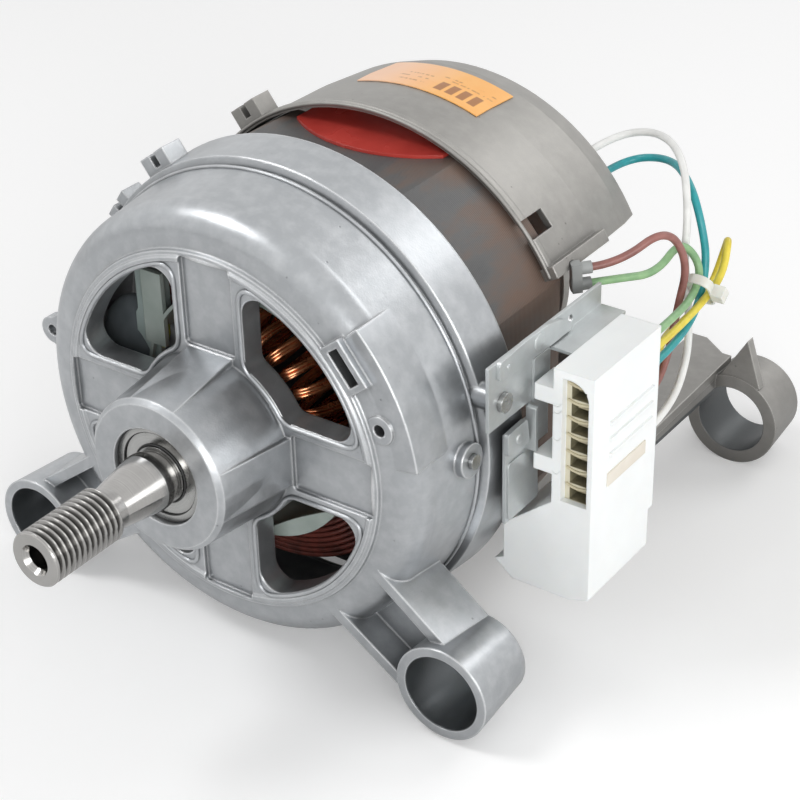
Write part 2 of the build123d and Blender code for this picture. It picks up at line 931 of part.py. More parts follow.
def armature_winding_front():
    stations = loop_stations()
    path = arc_path(stations)
    start, first = stations[0]
    section = Plane(origin=start, z_dir=first) * Circle(wire_r)
    skip = loop_count * 2
    print("winding gap to itself", round(least_gap(path, wire_r, loop_count * 60, skip), 2))
    return sweep(section, path=path)


def armature_winding_rear():
    ring = tube(rear_wind_outer_r, rear_wind_inner_r, stack_end + air_gap, stack_end + rear_wind_length)
    edges = ring.edges().filter_by(GeomType.CIRCLE)
    outer = [edge for edge in edges if edge.radius > rear_wind_outer_r - cut_over]
    return fillet(outer, wire_r * 2)


def commutator():
    bars = tube(comm_r, comm_hub_r, comm_y, comm_y + comm_length)
    bars += tube(riser_r, comm_hub_r, comm_y, comm_y + riser_w)
    cut = block(
        comm_r - comm_slot_d, riser_r + cut_over, comm_y - cut_over, comm_y + comm_length + cut_over,
        -comm_slot_w * half, comm_slot_w * half)
    for index in range(comm_bars):
        bars -= spun(cut, index * full_turn / comm_bars)
    return bars


def commutator_hub():
    return tube(comm_hub_r, core_shaft_r, comm_y, comm_y + comm_length)


def sensor_magnet():
    start = rear_wall_y + magnet_from_wall
    return tube(magnet_r, shaft_stub_r, start, start + magnet_w)


# Rear shield
def cover_profile():
    line = Polyline(
        (rim_inner_r, rim_y), (rim_outer_r - cut_over, rim_y), (rim_outer_r, rim_y + cut_over),
        (rim_outer_r, rim_y + rim_w), (cover_start_r, rim_y + rim_w + cut_over), (cover_mid_r, cover_mid_y),
        (cover_high_r, cover_high_y), (cover_end_r, cover_end_y), (cover_round_r, rear_wall_y),
        (rear_core_r, rear_wall_y), (rear_core_r, rear_wall_front),
        (cover_round_r - cover_wall, rear_wall_front), (cover_high_r - cover_wall, cover_high_y),
        (cover_mid_r - cover_wall, cover_mid_y), (stack_r - air_gap, stack_end + cover_wall + cut_over),
        (stack_r + register_gap, stack_end), (rim_inner_r, rim_y + rim_w), (rim_inner_r, rim_y))
    return make_face(line)


def rear_wall_face():
    face = Circle(rear_core_r)
    for side in (arm_deg, -full_turn * half - arm_deg):
        bar = Pos(rear_bar_reach * half, 0) * Rectangle(rear_bar_reach, rear_bar_half * 2)
        face += Rot(0, 0, side) * bar
    return face


def rear_arm():
    sheet = outline([
        (arm_flange_in, rear_wall_front), (arm_flange_out, rear_wall_front), (
            arm_flange_tip, arm_flange_tip_y),
        (arm_flange_notch, arm_flange_tip_y), (
            arm_flange_mid, arm_flange_end), (arm_flange_in, arm_flange_end)])
    flange = extrude(Plane.XY.offset(arm_flange_z - arm_flange_w * half) * sheet, amount=arm_flange_w)
    lip = block(
        arm_flange_tip - arm_lip_w, arm_flange_tip, rear_wall_front, arm_flange_tip_y, arm_lip_low,
        arm_flange_z)
    strut = block(
        arm_web_in, arm_web_in + arm_web_w, stack_end, rear_wall_y,
        arm_web_low, arm_flange_z + arm_flange_w * half)
    web = block(
        arm_web_in, arm_web_in + arm_web_w, rear_wall_front, arm_flange_end - arm_web_w, arm_web_low,
        arm_flange_z)
    root = block(arm_web_in, arm_flange_tip, rear_lug_y, rear_lug_y + arm_web_w, arm_root_low, arm_flange_z)
    gusset = slab(
        outline([(gusset_in, gusset_in_z), (gusset_out, gusset_out_z), (gusset_top, gusset_top_z)]),
        gusset_y, gusset_y + gusset_w)
    lug = lug_cone(rear_lug_y, rear_lug_length, rear_lug_front_r, rear_lug_back_r)
    return flange + lip + strut + web + root + gusset + lug


def rear_shield():
    span = cover_high_deg - cover_low_deg
    cover = revolve(cover_profile(), axis=Axis.Y, revolution_arc=span)
    cover = spun(cover, cover_high_deg)
    notch = slab(
        ring_sector(
            rim_outer_r + cut_over, stack_r - air_gap, cover_notch_deg - cover_notch_width_deg * half,
            cover_notch_deg + cover_notch_width_deg * half),
        rim_y - cut_over, cover_notch_y)
    cover -= notch
    vent = slab(
        ring_sector(rear_vent_outer_r, rear_vent_inner_r, -rear_vent_deg * half, rear_vent_deg * half),
        rear_wall_front - cut_over, rear_wall_y + cut_over)
    for index in range(rear_vent_count):
        cover -= spun(vent, rear_vent_first_deg + index * rear_vent_step_deg)
    low_span = low_cover_to_deg - low_cover_from_deg
    low_cover = revolve(cover_profile(), axis=Axis.Y, revolution_arc=low_span)
    strip = slab(
        ring_sector(edge_strip_r, cover_mid_r - cover_wall, strip_low_deg, strip_high_deg), rim_y,
        edge_strip_end)
    body = cover + slab(rear_wall_face(), rear_wall_front, rear_wall_y)
    body += spun(low_cover, low_cover_to_deg) + strip
    for piece in sleeve_rods(sleeve_tube_r + air_gap, air_gap):
        body -= piece
    body += rod(rear_hub_r, rear_hub_y, rear_wall_y)
    body += clip_block(clip_deg, rim_y, cover_tab_outer_r)
    arm = rear_arm()
    body += arm
    body += flipped(arm)
    body -= rod(rear_ring_r, rear_ring_y, rear_ring_end)
    body -= rod(rear_stop_r, rear_hub_y - cut_over, rear_wall_y + cut_over)
    bore = rod(lug_bore_r, rear_lug_y - cut_over, rear_lug_y + rear_lug_length + cut_over)
    for side in sides:
        body -= Pos(side * lug_x, 0, lug_z) * bore
    return body


def cover_outer_at(y):
    if y < cover_mid_y:
        start = rim_y + rim_w + cut_over
        share = (y - start) / (cover_mid_y - start)
        return cover_start_r + (cover_mid_r - cover_start_r) * share
    share = (y - cover_mid_y) / (cover_high_y - cover_mid_y)
    return cover_mid_r + (cover_high_r - cover_mid_r) * share


def label_plate():
    finish = label_y + label_length
    stations = (label_y, cover_mid_y, finish)
    under = [(cover_outer_at(y) + label_seat, y) for y in stations]
    over = [(cover_outer_at(y) + label_seat + label_thick, y) for y in reversed(stations)]
    profile = outline(under + over)
    plate = revolve(profile, axis=Axis.Y, revolution_arc=label_high_deg - label_low_deg)
    return spun(plate, label_high_deg)


# Brush gear
brush_middle_y = comm_y + riser_w + (comm_length - riser_w) * half
brush_start = comm_r + brush_gap
brush_end = brush_start + brush_length
holder_end = brush_end + spring_room


def brush():
    return block(
        -brush_x * half, brush_x * half, brush_middle_y - brush_y * half, brush_middle_y + brush_y * half,
        brush_start, brush_end)


def spring_stations(low, high):
    count = spring_turns * quarters
    rise = (high - low) / (2 * pi * spring_turns)
    stations = []
    for index in range(count + 1):
        angle = 2 * pi * index / quarters
        place = Vector(spring_r * cos(angle), spring_r * sin(angle), low + (high - low) * index / count)
        along = Vector(-spring_r * sin(angle), spring_r * cos(angle), rise)
        stations.append((place, along.normalized()))
    return stations


def brush_spring():
    stations = spring_stations(brush_end + spring_wire_r, holder_end - spring_wire_r)
    path = arc_path(stations)
    start, first = stations[0]
    section = Plane(origin=start, z_dir=first) * Circle(spring_wire_r)
    samples = spring_turns * quarters * 6
    skip = quarters * 3
    print("spring gap to itself", round(least_gap(path, spring_wire_r, samples, skip), 2))
    return Pos(0, brush_middle_y, 0) * sweep(section, path=path)


def brush_holder():
    wide = brush_x * half + holder_gap
    long = brush_y * half + holder_gap
    shape = block(
        -wide - holder_wall, wide + holder_wall,
        brush_middle_y - long - holder_wall, brush_middle_y + long + holder_wall,
        holder_start, holder_end + holder_cap)
    shape += block(
        -wide - holder_wall, wide + holder_wall, brush_middle_y, rear_wall_front,
        foot_from_centre, foot_from_centre + foot_length)
    shape -= block(
        -wide, wide, brush_middle_y - long, brush_middle_y + long, holder_start - cut_over, holder_end)
    return shape


def below(shape):
    return mirror(shape, about=Plane.XY)


# Sensor
def sensor_coil():
    start = rear_wall_y
    return tube(sensor_outer_r, sensor_inner_r, start, start + sensor_w)


def sensor_cap():
    start = rear_wall_y + sensor_w
    reach = shaft_tail - sensor_w + air_gap
    cup = rod(sensor_outer_r, start, start + reach + sensor_cap_w)
    return cup - rod(sensor_inner_r, start - cut_over, start + reach)


# Steel bracket
def plate(y, length, low, high):
    return block(bracket_x, bracket_x + bracket_thick, y, y + length, low, high)


def across(radius, y, z, low, high):
    return Pos(0, y, z) * (Rot(0, 0, -right_angle) * rod(radius, low, high))


def steel_bracket():
    shape = plate(strip_y, strip_length, strip_low, strip_high)
    shape += plate(block_y, block_length, block_low, strip_high)
    shape += plate(drop_y, drop_w, drop_low, strip_high)
    shape += plate(tongue_y, drop_y + drop_w - tongue_y, tongue_low, tongue_high)
    shape += plate(low_plate_y, low_plate_length, low_plate_low, tongue_high)
    slot = Pos(0, oval_z) * SlotCenterToCenter(oval_half * 2, oval_r * 2, rotation=right_angle)
    cut = extrude(Plane.YZ * (Pos(oval_y, 0) * slot), amount=bracket_x + bracket_thick + cut_over)
    shape -= cut
    shape -= across(
        strip_mark_r, strip_mark_y, (strip_low + strip_high) * half, bracket_x - cut_over,
        bracket_x + bracket_thick + cut_over)
    shape -= across(
        bracket_screw_shank_r + air_gap, bracket_pad_y, bracket_pad_z, bracket_x - cut_over,
        bracket_x + bracket_thick + cut_over)
    face = bracket_x + bracket_thick
    shape += block(
        face, house_x - air_gap * half, house_y + hook_length, strip_y + strip_length, strip_low,
        strip_low + bracket_thick)
    return shape


def bracket_screw():
    face = bracket_x + bracket_thick
    head = across(bracket_screw_r, bracket_pad_y, bracket_pad_z, face, face + bracket_screw_rise)
    return head + across(bracket_screw_shank_r, bracket_pad_y, bracket_pad_z, face - side_screw_shank, face)


def side_screw():
    head = rod(side_screw_r, screw_pad_outer, screw_pad_outer + side_screw_rise)
    shape = head + rod(side_screw_shank_r, screw_pad_outer - side_screw_shank, screw_pad_outer)
    return spun(Pos(0, screw_pad_y, 0) * (Rot(0, 0, -right_angle) * shape), screw_pad_deg)


# Terminal housing
def cavity_middle(index):
    return cavity_top - cavity_pitch * (index + half)


def cavity_x():
    return house_x + house_w - cavity_side - cavity_w


def recess_face():
    wide = house_w - recess_in - recess_side
    low = cavity_middle(cavity_count - 1) - cavity_h * half
    high = cavity_top + recess_over
    face = Pos(house_x + recess_in, low) * Rectangle(wide, high - low, align=(Align.MIN, Align.MIN))
    corner = face.vertices().sort_by(lambda vertex: vertex.X + vertex.Y)[-1]
    return fillet(corner, recess_round)


def terminal_housing():
    outer = block(house_x, house_x + house_w, house_y, house_end, house_low, house_top)
    hood = outline([
        (house_x, house_low * half), (hood_mid, hood_top), (hood_mid, hood_edge_low + house_wall),
        (hood_in, hood_edge_low), (hood_toe, hood_low), (house_x + house_w * half, hood_low),
        (house_x + house_w, hood_out_low), (house_x + house_w, house_low * half)])
    body = outer + slab(hood, house_y, house_y + hood_length)
    inner = slab(offset(hood, -house_wall), house_y + house_wall, house_end + cut_over)
    body -= inner & block(hood_in, house_x + house_w, house_y, house_end + cut_over, hood_low, house_low)
    body -= slab(recess_face(), house_y - cut_over, house_y + recess_depth)
    for index in range(cavity_count):
        middle = cavity_middle(index)
        body -= block(
            cavity_x(), cavity_x() + cavity_w, house_y - cut_over, house_y + cavity_depth,
            middle - cavity_h * half, middle + cavity_h * half)
    for low in (hook_high, hook_low):
        body += block(house_x - hook_w, house_x, house_y, house_y + hook_length, low, low + hook_h)
    for low in rib_z:
        body += block(
            house_x + house_w, house_x + house_w + rib_rise, rib_y, rib_y + rib_length, low, low + rib_w)
    return body


def housing_insert():
    face = house_x + house_w
    return block(face, face + insert_rise, insert_y, insert_y + insert_length, insert_z, insert_z + insert_h)


def terminal_pins():
    pins = []
    middle = cavity_x() + cavity_w * half
    for index in range(cavity_count):
        z = cavity_middle(index)
        start = house_y + cavity_depth
        pins.append(block(
            middle - pin_w * half, middle + pin_w * half, start - pin_length, start, z - pin_h * half,
            z + pin_h * half))
    return pins


# Leads
def route_radii(points):
    radii = []
    for before, here, after in zip(points, points[1:], points[2:]):
        one = Vector(*here) - Vector(*before)
        two = Vector(*after) - Vector(*here)
        turn = radians(one.get_angle(two))
        shorter = min(one.length, two.length)
        radii.append(route_share * shorter / tan(turn * half))
    return radii


def lead(points, name):
    radii = route_radii(points)
    path = FilletPolyline(*points, radius=radii)
    section = Plane(origin=path @ 0, z_dir=path % 0) * Circle(wire_d * half)
    shape = sweep(section, path=path)
    expected = pi * (wire_d * half) ** 2 * path.length
    print(
        name, "radii", [round(radius, 1) for radius in radii], "length", round(path.length, 1),
        "volume share", round(shape.volume / expected, 4))
    return shape


def sleeve_rods(radius, over):
    direction = (Vector(*lead_turn) - Vector(*lead_start)).normalized()
    rods = []
    for drop in (0, green_drop):
        start = Vector(lead_start[0], lead_start[1], lead_start[2] - drop)
        back = start - direction * (sleeve_length + over)
        place = Plane(origin=back, z_dir=direction)
        rods.append(extrude(place * Circle(radius), amount=sleeve_length + over))
    middle = Vector(lead_start[0], lead_start[1], lead_start[2] - green_drop * half)
    back = middle - direction * (sleeve_length + over)
    place = Plane(origin=back, x_dir=(0, 0, 1), z_dir=direction)
    bridge = Rectangle(green_drop + radius * 2, radius * 2)
    rods.append(extrude(place * bridge, amount=sleeve_length * half + over))
    return rods


def lead_sleeves():
    upper, lower, bar = sleeve_rods(sleeve_tube_r, 0)
    return upper + lower + bar


def cable_tie():
    place = Plane(origin=tie_centre, x_dir=(1, 0, 0), z_dir=tie_dir)
    outer = RectangleRounded((tie_half_x + tie_wall) * 2, (tie_half_y + tie_wall) * 2, tie_half_x)
    inner = RectangleRounded(tie_half_x * 2, tie_half_y * 2, tie_half_x - tie_wall)
    band = extrude(place.offset(-tie_width * half) * (outer - inner), amount=tie_width)
    head = place * Pos(
        tie_half_x + tie_wall + tie_head * half - air_gap, 0, 0) * Box(tie_head, tie_head, tie_head)
    return band + head


def build():
    keep(front_shield(), "front_shield")
    keep(stator_core(), "stator_core")
    keep(stack_bolts(), "stack_bolts")
    coil = field_coil()
    keep(coil, "field_coil_upper")
    keep(below(coil), "field_coil_lower")
    frame = coil_frame()
    keep(frame, "coil_frame_upper")
    keep(below(frame), "coil_frame_lower")
    keep(red_baffle(), "red_insulator")
    keep(rotor_shaft(), "rotor_shaft")
    keep(rotor_core(), "rotor_core")
    keep(shaft_sleeve(), "shaft_sleeve")
    keep(armature_winding_front(), "armature_winding_front")
    keep(armature_winding_rear(), "armature_winding_rear")
    keep(commutator(), "commutator")
    keep(commutator_hub(), "commutator_hub")
    keep(sensor_magnet(), "sensor_magnet")
    front = (front_ring_r, front_journal_r, front_ring_y, front_ring_w)
    rear = (rear_ring_r, rear_journal_r, rear_ring_y, rear_ring_w)
    for name, sizes in (("front", front), ("rear", rear)):
        keep(bearing_outer(*sizes), name + "_bearing_outer")
        keep(bearing_inner(*sizes), name + "_bearing_inner")
        keep(bearing_balls(*sizes), name + "_bearing_balls")
        keep(bearing_shields(*sizes), name + "_bearing_shields")
    keep(rear_shield(), "rear_shield")
    keep(label_plate(), "label_plate")
    keep(brush(), "brush_upper")
    keep(below(brush()), "brush_lower")
    keep(brush_spring(), "brush_spring_upper")
    keep(below(brush_spring()), "brush_spring_lower")
    keep(brush_holder(), "brush_holder_upper")
    keep(below(brush_holder()), "brush_holder_lower")
    keep(sensor_coil(), "sensor_coil")
    keep(sensor_cap(), "sensor_cap")
    keep(steel_bracket(), "steel_bracket")
    keep(bracket_screw(), "bracket_screw")
    keep(side_screw(), "side_screw")
    keep(terminal_housing(), "terminal_housing")
    keep(housing_insert(), "housing_insert")
    keep(terminal_pins(), "terminal_pins")
    keep(lead(white_route, "white"), "lead_white")
    keep(lead(teal_route, "teal"), "lead_teal")
    keep(lead(brown_route, "brown"), "lead_brown")
    keep(lead(green_route, "green"), "lead_green")
    keep(lead(yellow_route, "yellow"), "lead_yellow")
    keep(lead_sleeves(), "lead_sleeves")
    keep(cable_tie(), "cable_tie")


build()
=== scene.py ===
import bpy
import bmesh
import json
import math
from mathutils import Matrix, Vector


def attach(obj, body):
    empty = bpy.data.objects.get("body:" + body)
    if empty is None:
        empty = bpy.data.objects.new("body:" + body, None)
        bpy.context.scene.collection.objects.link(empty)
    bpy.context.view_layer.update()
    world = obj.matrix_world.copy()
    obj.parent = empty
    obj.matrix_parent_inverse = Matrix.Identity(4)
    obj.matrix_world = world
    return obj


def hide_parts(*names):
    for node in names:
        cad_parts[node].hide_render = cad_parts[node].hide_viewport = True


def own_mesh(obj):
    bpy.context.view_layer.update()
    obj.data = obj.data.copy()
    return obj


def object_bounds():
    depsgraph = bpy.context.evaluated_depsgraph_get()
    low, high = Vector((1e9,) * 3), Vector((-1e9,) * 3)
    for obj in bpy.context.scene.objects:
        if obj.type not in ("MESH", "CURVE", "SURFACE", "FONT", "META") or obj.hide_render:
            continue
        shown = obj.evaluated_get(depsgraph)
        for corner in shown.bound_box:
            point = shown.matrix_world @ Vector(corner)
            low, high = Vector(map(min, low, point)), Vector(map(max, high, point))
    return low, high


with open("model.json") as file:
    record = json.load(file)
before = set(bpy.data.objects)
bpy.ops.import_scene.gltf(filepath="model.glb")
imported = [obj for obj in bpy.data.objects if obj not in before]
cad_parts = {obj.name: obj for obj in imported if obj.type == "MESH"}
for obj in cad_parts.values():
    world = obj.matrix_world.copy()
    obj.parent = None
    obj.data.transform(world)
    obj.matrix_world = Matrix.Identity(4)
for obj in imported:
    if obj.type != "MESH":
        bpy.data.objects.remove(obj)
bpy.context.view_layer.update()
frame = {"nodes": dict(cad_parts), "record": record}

# Sizes are in millimetres, and a size times mm is in metres
mm = 0.001
full_turn = math.tau
quarter_turn = full_turn / 4
circle_steps = 24

# Camera of the photograph
camera_place = (380.24 * mm, -389.06 * mm, 349.47 * mm)
camera_azimuth = math.radians(35.98)
camera_elevation = math.radians(30.97)
camera_roll = math.radians(-1.49)
camera_lens = 90.0
camera_sensor = 36.0
camera_near = 0.01
camera_far = 10.0

# Lights: name, place in metres, size in metres, power in watts
light_target = (0.0, 0.09, 0.0)
softboxes = (
    ("key_light", (-0.75, -0.45, 1.25), (0.5, 0.5), 6.8),
    ("fill_light", (1.15, -0.95, 0.45), (0.9, 0.7), 12.0),
    ("side_light", (1.5, 0.35, 0.4), (0.7, 0.6), 3.0),
    ("back_light", (0.5, 1.2, 1.0), (0.9, 0.5), 4.0),
)
room_glow = 0.45
seen_glow = 1.0
white = (1.0, 1.0, 1.0, 1.0)

# Floor, its reach in metres
floor_reach = 4.0
floor_tone = 0.93
floor_rough = 0.9
floor_lift = 0.16

# Wires
wire_diameter = 2.8 * mm
wire_sides = 5
wire_smoothness = 16
wire_order = 3
rear_wall_y = 185.3
housing_end = 126.0
sleeve_mouth = (82, 133, 41)
green_mouth = (82, 133, 35)

# Armature windings: ring sizes, loops and strands
winding_mean = 27.5
winding_half = 5.5
front_winding_y = 60.55
front_winding_half = 14.95
front_winding_loops = 24
front_winding_steps = 20
front_strand_spread = 1.25
front_strand_radius = 0.68
rear_winding_mean = 23.5
rear_winding_half = 9.0
rear_winding_y = 133.6
rear_winding_half_y = 5.2
rear_winding_loops = 30
rear_winding_steps = 16
rear_strand_spread = 1.1
rear_strand_radius = 0.62
bundle_strands = 6
bundle_twist = 0.05
strand_sides = 6

# Field windings
coil_first_deg = 2.5
coil_leg_deg = 18.0
coil_inner = 45.0
coil_outer = 60.5
coil_front_y = 55.6
coil_back_y = 140.4
coil_thick = 11.0
coil_rows = 6
coil_layers = 8
coil_wire_radius = 0.93
coil_corner = 0.12
coil_corner_gain = 0.05
coil_bend_share = 0.3
coil_bend_near = 1.6
coil_bend_far = 5.0
coil_arc_steps = 40
coil_leg_steps = 12

# Sensor winding
sensor_outer = 20.0
sensor_inner = 13.0
sensor_inset = 0.7
sensor_first = 1.2
sensor_pitch = 1.1
sensor_layers = 8
sensor_wire_radius = 0.5
sensor_steps = 48

# Formed plates on the steel bracket: name, corners in Y and Z, inner X, outer X, corner radius
bracket_plates = (
    ("bracket_strip", (
        (64.2, 32.0), (64.2, 38.9), (79.0, 39.9), (93.0, 39.7), (99.0, 38.4), (104.5, 36.4),
        (108.5, 31.4), (97.0, 31.2), (81.5, 31.4)), 88.42, 89.9, 1.8),
    ("bracket_hanger", ((85.2, 14.0), (85.2, 30.6), (95.0, 30.6), (95.0, 14.0)), 88.42, 89.5, 1.2),
    ("bracket_flap", (
        (68.8, 2.2), (68.8, 10.4), (80.4, 10.9), (81.8, 1.4), (77.0, 0.6)), 88.42, 90.2, 1.6),
    ("bracket_fold", ((82.2, -2.2), (82.2, 14.2), (83.6, 14.8), (83.6, -2.2)), 88.42, 92.2, 0.5),
    ("bracket_foot", (
        (71.0, -24.4), (71.0, -2.2), (80.4, -2.2), (88.8, -12.4), (89.6, -24.4)),
        88.42, 88.95, 2.2),
)
plate_edge = 0.3
plate_edge_steps = 2
corner_steps = 5
corner_limit = 0.45
crease_deg = 40.0

# Dimples of the plates: name, middle, radius, height
bracket_dimples = (
    ("strip_dimple_left", (89.8, 69.2, 35.6), 1.0, 0.5),
    ("strip_dimple_right", (89.8, 87.5, 36.0), 3.0, 0.45),
    ("flap_dimple", (90.1, 75.4, 6.0), 1.9, 0.6),
)
dimple_profile = ((0.0, 1.0), (0.6, 0.97), (0.9, 0.85), (1.0, 0.6))

# Latch lines on the terminal housing
latch_heights = (17.6, 14.9, 4.8, -8.0)
latch_y = 82.95
latch_steps = ((98.1, 0.4), (98.8, -0.2), (99.8, -0.4), (100.6, 0.2), (101.3, 1.2))
latch_radius = 0.22

# Terminal ribs
rib_count = 8
rib_top = 26.2
rib_pitch = 6.4
rib_left = 102.2
rib_right = 110.9
rib_y = 85.3
rib_sag = 0.9
rib_radius = 0.5
rib_steps = 10

# Darker olive walls inside the terminal wells of the housing
well_left = 101.6
well_right = 111.3
well_low = -19.6
well_top = 27.2
well_floor = 85.65
well_end = 104.0
well_rim = 0.35
well_side_blur = 0.1
well_floor_blur = 0.05

# Mounting bores, and the painted shade inside them
lug_x = 90.0
lug_z = -68.0
lug_r = 14.0
bore_shade_colour = (0.07, 0.078, 0.083)

# Beads on the castings
window_outer = 60.5
window_inner = 32.6
window_gap = 14.3
window_corner = 7.5
window_inner_corner = 4.5
window_count = 4
bead_y = 31.0
bead_radius = 0.9
bend_steps = 8
ridge_rings = ((82.0, 63.4), (82.4, 66.6))
ridge_bead_radius = 0.75
cover_rim_radius = 84.4
cover_rim_y = 119.3
cover_rim_first_deg = 28.5
cover_rim_last_deg = 149.5
cover_bead_radius = 0.8

# Rubber rings of the front bearing: radius, Y
seal_rings = ((17.3, 2.05), (15.1, 2.35), (10.4, 2.5))
seal_ring_radius = 0.32

# Brush springs
spring_middle_y = 157.5
spring_foot = 46.3
spring_top = 60.3
spring_wire = 0.45
spring_radius = 2.3
spring_turns = 8

# Taped end cover of the upper coil
dome_middle = (-52.0, 57.0, 0.0)
dome_half = (22.0, 7.5, 25.0)
dome_wave = 0.03
dome_lobes = 3
dome_phase = 0.6
dome_first_deg = 4.0
dome_span_deg = 86.0
dome_levels = 14
dome_steps = 48

# Coil collar and post in the front windows
collar_first_deg = -82.0
collar_last_deg = -34.0
collar_inner = 39.4
collar_outer = 45.6
collar_front = 44.4
collar_lip = 1.0
collar_wall = 0.9
collar_floor = 1.4
collar_curve = 0.7
collar_steps = 32
post_stations = ((5.0, 22.0, 0.0), (24.0, 41.0, 1.2))
post_section = (
    (-51.0, 51.0), (-39.5, 49.8), (-39.5, 55.4), (-41.5, 55.4), (-41.5, 52.4), (-51.0, 53.4))
post_edge = ((-39.4, 50.2), (-38.4, 50.2), (-38.4, 54.0), (-39.4, 54.0))
post_edge_heights = (12.0, 30.0)

# Plain bars and faint rows on the label: angles in degrees round the motor axis
film_colour = (0.97, 0.47, 0.13)
film_light = (1.0, 0.53, 0.17)
# Paler film colour of the painted highlight at one end of the label
film_highlight = (1.0, 0.68, 0.52)
ink_colour = (0.30, 0.12, 0.05)
# Angles and share of the painted highlight
highlight_first_deg = 82.0
highlight_last_deg = 100.0
highlight_share = 0.75
bar_low = 72.2
bar_step = 3.2
bar_count = 4
bar_front = 147.5
bar_back = 154.5
bar_open = 0.16
bar_close = 0.84
bar_ink = 0.85
row_width = 0.9
row_ink = 0.55
row_places = (
    (156.6, 71.5, 84.0), (159.4, 71.5, 76.0), (158.6, 80.0, 86.0),
    (149.0, 88.0, 95.0), (152.5, 88.0, 97.0), (156.0, 88.0, 97.0))

# Noise: the band where most of its values lie, and scales in waves per metre
noise_low = 0.3
noise_high = 0.7
cast_cloud = 22.0
cast_patch = 190.0
cast_fine = 1500.0
cast_pits = 210.0
cast_pit_groups = 75.0
steel_rings = 2600.0
steel_smudge = 120.0
stack_lines = 400.0
stack_cloud = 70.0
moulded_fine = 1400.0
strand_cloud = 140.0
strand_fine = 900.0
sheet_flakes = 420.0
sheet_brush = 1600.0
sheet_cloud = 90.0
label_cloud = 80.0
label_rows = 700.0
label_fine = 500.0
well_mottle = 260.0

# Wear and pits of the castings, painted highlights on their edges, painted shade in their corners,
# hollows and bores, and painted shade darker towards the bottom
cast_wear = 0.16
cast_pit_share = 0.55
# Painted highlight on cast edges, in the worn colour
cast_edge_highlight_share = 0.8
# Painted shade in corners and deep hollows: reaches in mm, shares and tones
corner_reach = 7.0
corner_shade_share = 0.55
deep_reach = 30.0
deep_shade_share = 0.36
pit_grime_and_corner_shade_tone = 0.35
deep_tone = 0.3
# Painted shade: the castings darker towards the bottom, between these heights in mm
bottom_shade_low = -75.0
bottom_shade_high = -35.0
# Painted shade inside the mounting bores: share and blur in mm
bore_shade_share = 0.85
bore_blur = (0.05, 0.25)

# Rust of the sheet stack: front and rear Y, outer X, tones
rust_front = 70.0
rust_rear = 118.0
rust_side = 70.0
stack_tones = [
    (0.3, (0.075, 0.08, 0.085)), (0.5, (0.12, 0.122, 0.122)),
    (0.62, (0.165, 0.125, 0.105)), (0.75, (0.20, 0.125, 0.09))]
stack_sheen = (0.22, 0.21, 0.205)


# Material helpers
def material(name):
    made = bpy.data.materials.new(name)
    made.use_nodes = True
    return made, made.node_tree, made.node_tree.nodes["Principled BSDF"]


def node(tree, kind, **values):
    made = tree.nodes.new(kind)
    for name, value in values.items():
        setattr(made, name, value)
    return made


def wire(tree, source, target):
    tree.links.new(source, target)


def places(tree, scale=(1, 1, 1)):
    source = node(tree, "ShaderNodeTexCoord")
    mapping = node(tree, "ShaderNodeMapping")
    mapping.inputs["Scale"].default_value = scale
    wire(tree, source.outputs["Object"], mapping.inputs["Vector"])
    return mapping.outputs["Vector"]


def axes(tree, place):
    parts = node(tree, "ShaderNodeSeparateXYZ")
    wire(tree, place, parts.inputs["Vector"])
    return parts.outputs["X"], parts.outputs["Y"], parts.outputs["Z"]


def grain(tree, place, scale, detail=3.0, rough=0.5):
    made = node(tree, "ShaderNodeTexNoise")
    made.inputs["Scale"].default_value = scale
    made.inputs["Detail"].default_value = detail
    made.inputs["Roughness"].default_value = rough
    wire(tree, place, made.inputs["Vector"])
    return made.outputs["Fac"]


def cells(tree, place, scale):
    made = node(tree, "ShaderNodeTexVoronoi")
    made.inputs["Scale"].default_value = scale
    wire(tree, place, made.inputs["Vector"])
    return made.outputs["Distance"]


def ramp(tree, value, stops):
    made = node(tree, "ShaderNodeValToRGB")
    steps = made.color_ramp.elements
    while len(steps) < len(stops):
        steps.new(1.0)
    for step, (place, colour) in zip(steps, stops):
        step.position = place
        step.color = (*colour, 1.0)
    wire(tree, value, made.inputs["Fac"])
    return made.outputs["Color"]


def two_tone(tree, value, dark, light, low=noise_low, high=noise_high):
    return ramp(tree, value, [(low, dark), (high, light)])


def shaded(colour, share):
    return tuple(value * share for value in colour)


def levels(tree, value, low, high, out_low, out_high):
    made = node(tree, "ShaderNodeMapRange", clamp=True)
    made.inputs["From Min"].default_value = low
    made.inputs["From Max"].default_value = high
    made.inputs["To Min"].default_value = out_low
    made.inputs["To Max"].default_value = out_high
    wire(tree, value, made.inputs["Value"])
    return made.outputs["Result"]


def sums(tree, kind, one, two=0.0):
    made = node(tree, "ShaderNodeMath", operation=kind)
    for socket, value in zip(made.inputs, (one, two)):
        if isinstance(value, (int, float)):
            socket.default_value = value
        else:
            wire(tree, value, socket)
    return made.outputs["Value"]


def times(tree, one, two):
    return sums(tree, "MULTIPLY", one, two)


def minus(tree, one, two):
    return sums(tree, "SUBTRACT", one, two)


def blended(tree, share, one, two):
    made = node(tree, "ShaderNodeMix", data_type="RGBA")
    share_socket, first_socket, second_socket = made.inputs[0], made.inputs[6], made.inputs[7]
    sockets = (share_socket, first_socket, second_socket)
    for socket, value in zip(sockets, (share, one, two)):
        if isinstance(value, tuple):
            socket.default_value = (*value, 1.0)
        elif isinstance(value, (int, float)):
            socket.default_value = value
        else:
            wire(tree, value, socket)
    return made.outputs[2]


def inside(tree, value, low, high, blur):
    rise = levels(tree, value, low - blur, low + blur, 0.0, 1.0)
    drop = levels(tree, value, high - blur, high + blur, 1.0, 0.0)
    return times(tree, rise, drop)


def roughened(tree, shader, value, low, high):
    rough = levels(tree, value, noise_low, noise_high, low, high)
    wire(tree, rough, shader.inputs["Roughness"])


def soft_edge(tree, radius):
    made = node(tree, "ShaderNodeBevel", samples=4)
    made.inputs["Radius"].default_value = radius * mm
    return made.outputs["Normal"]


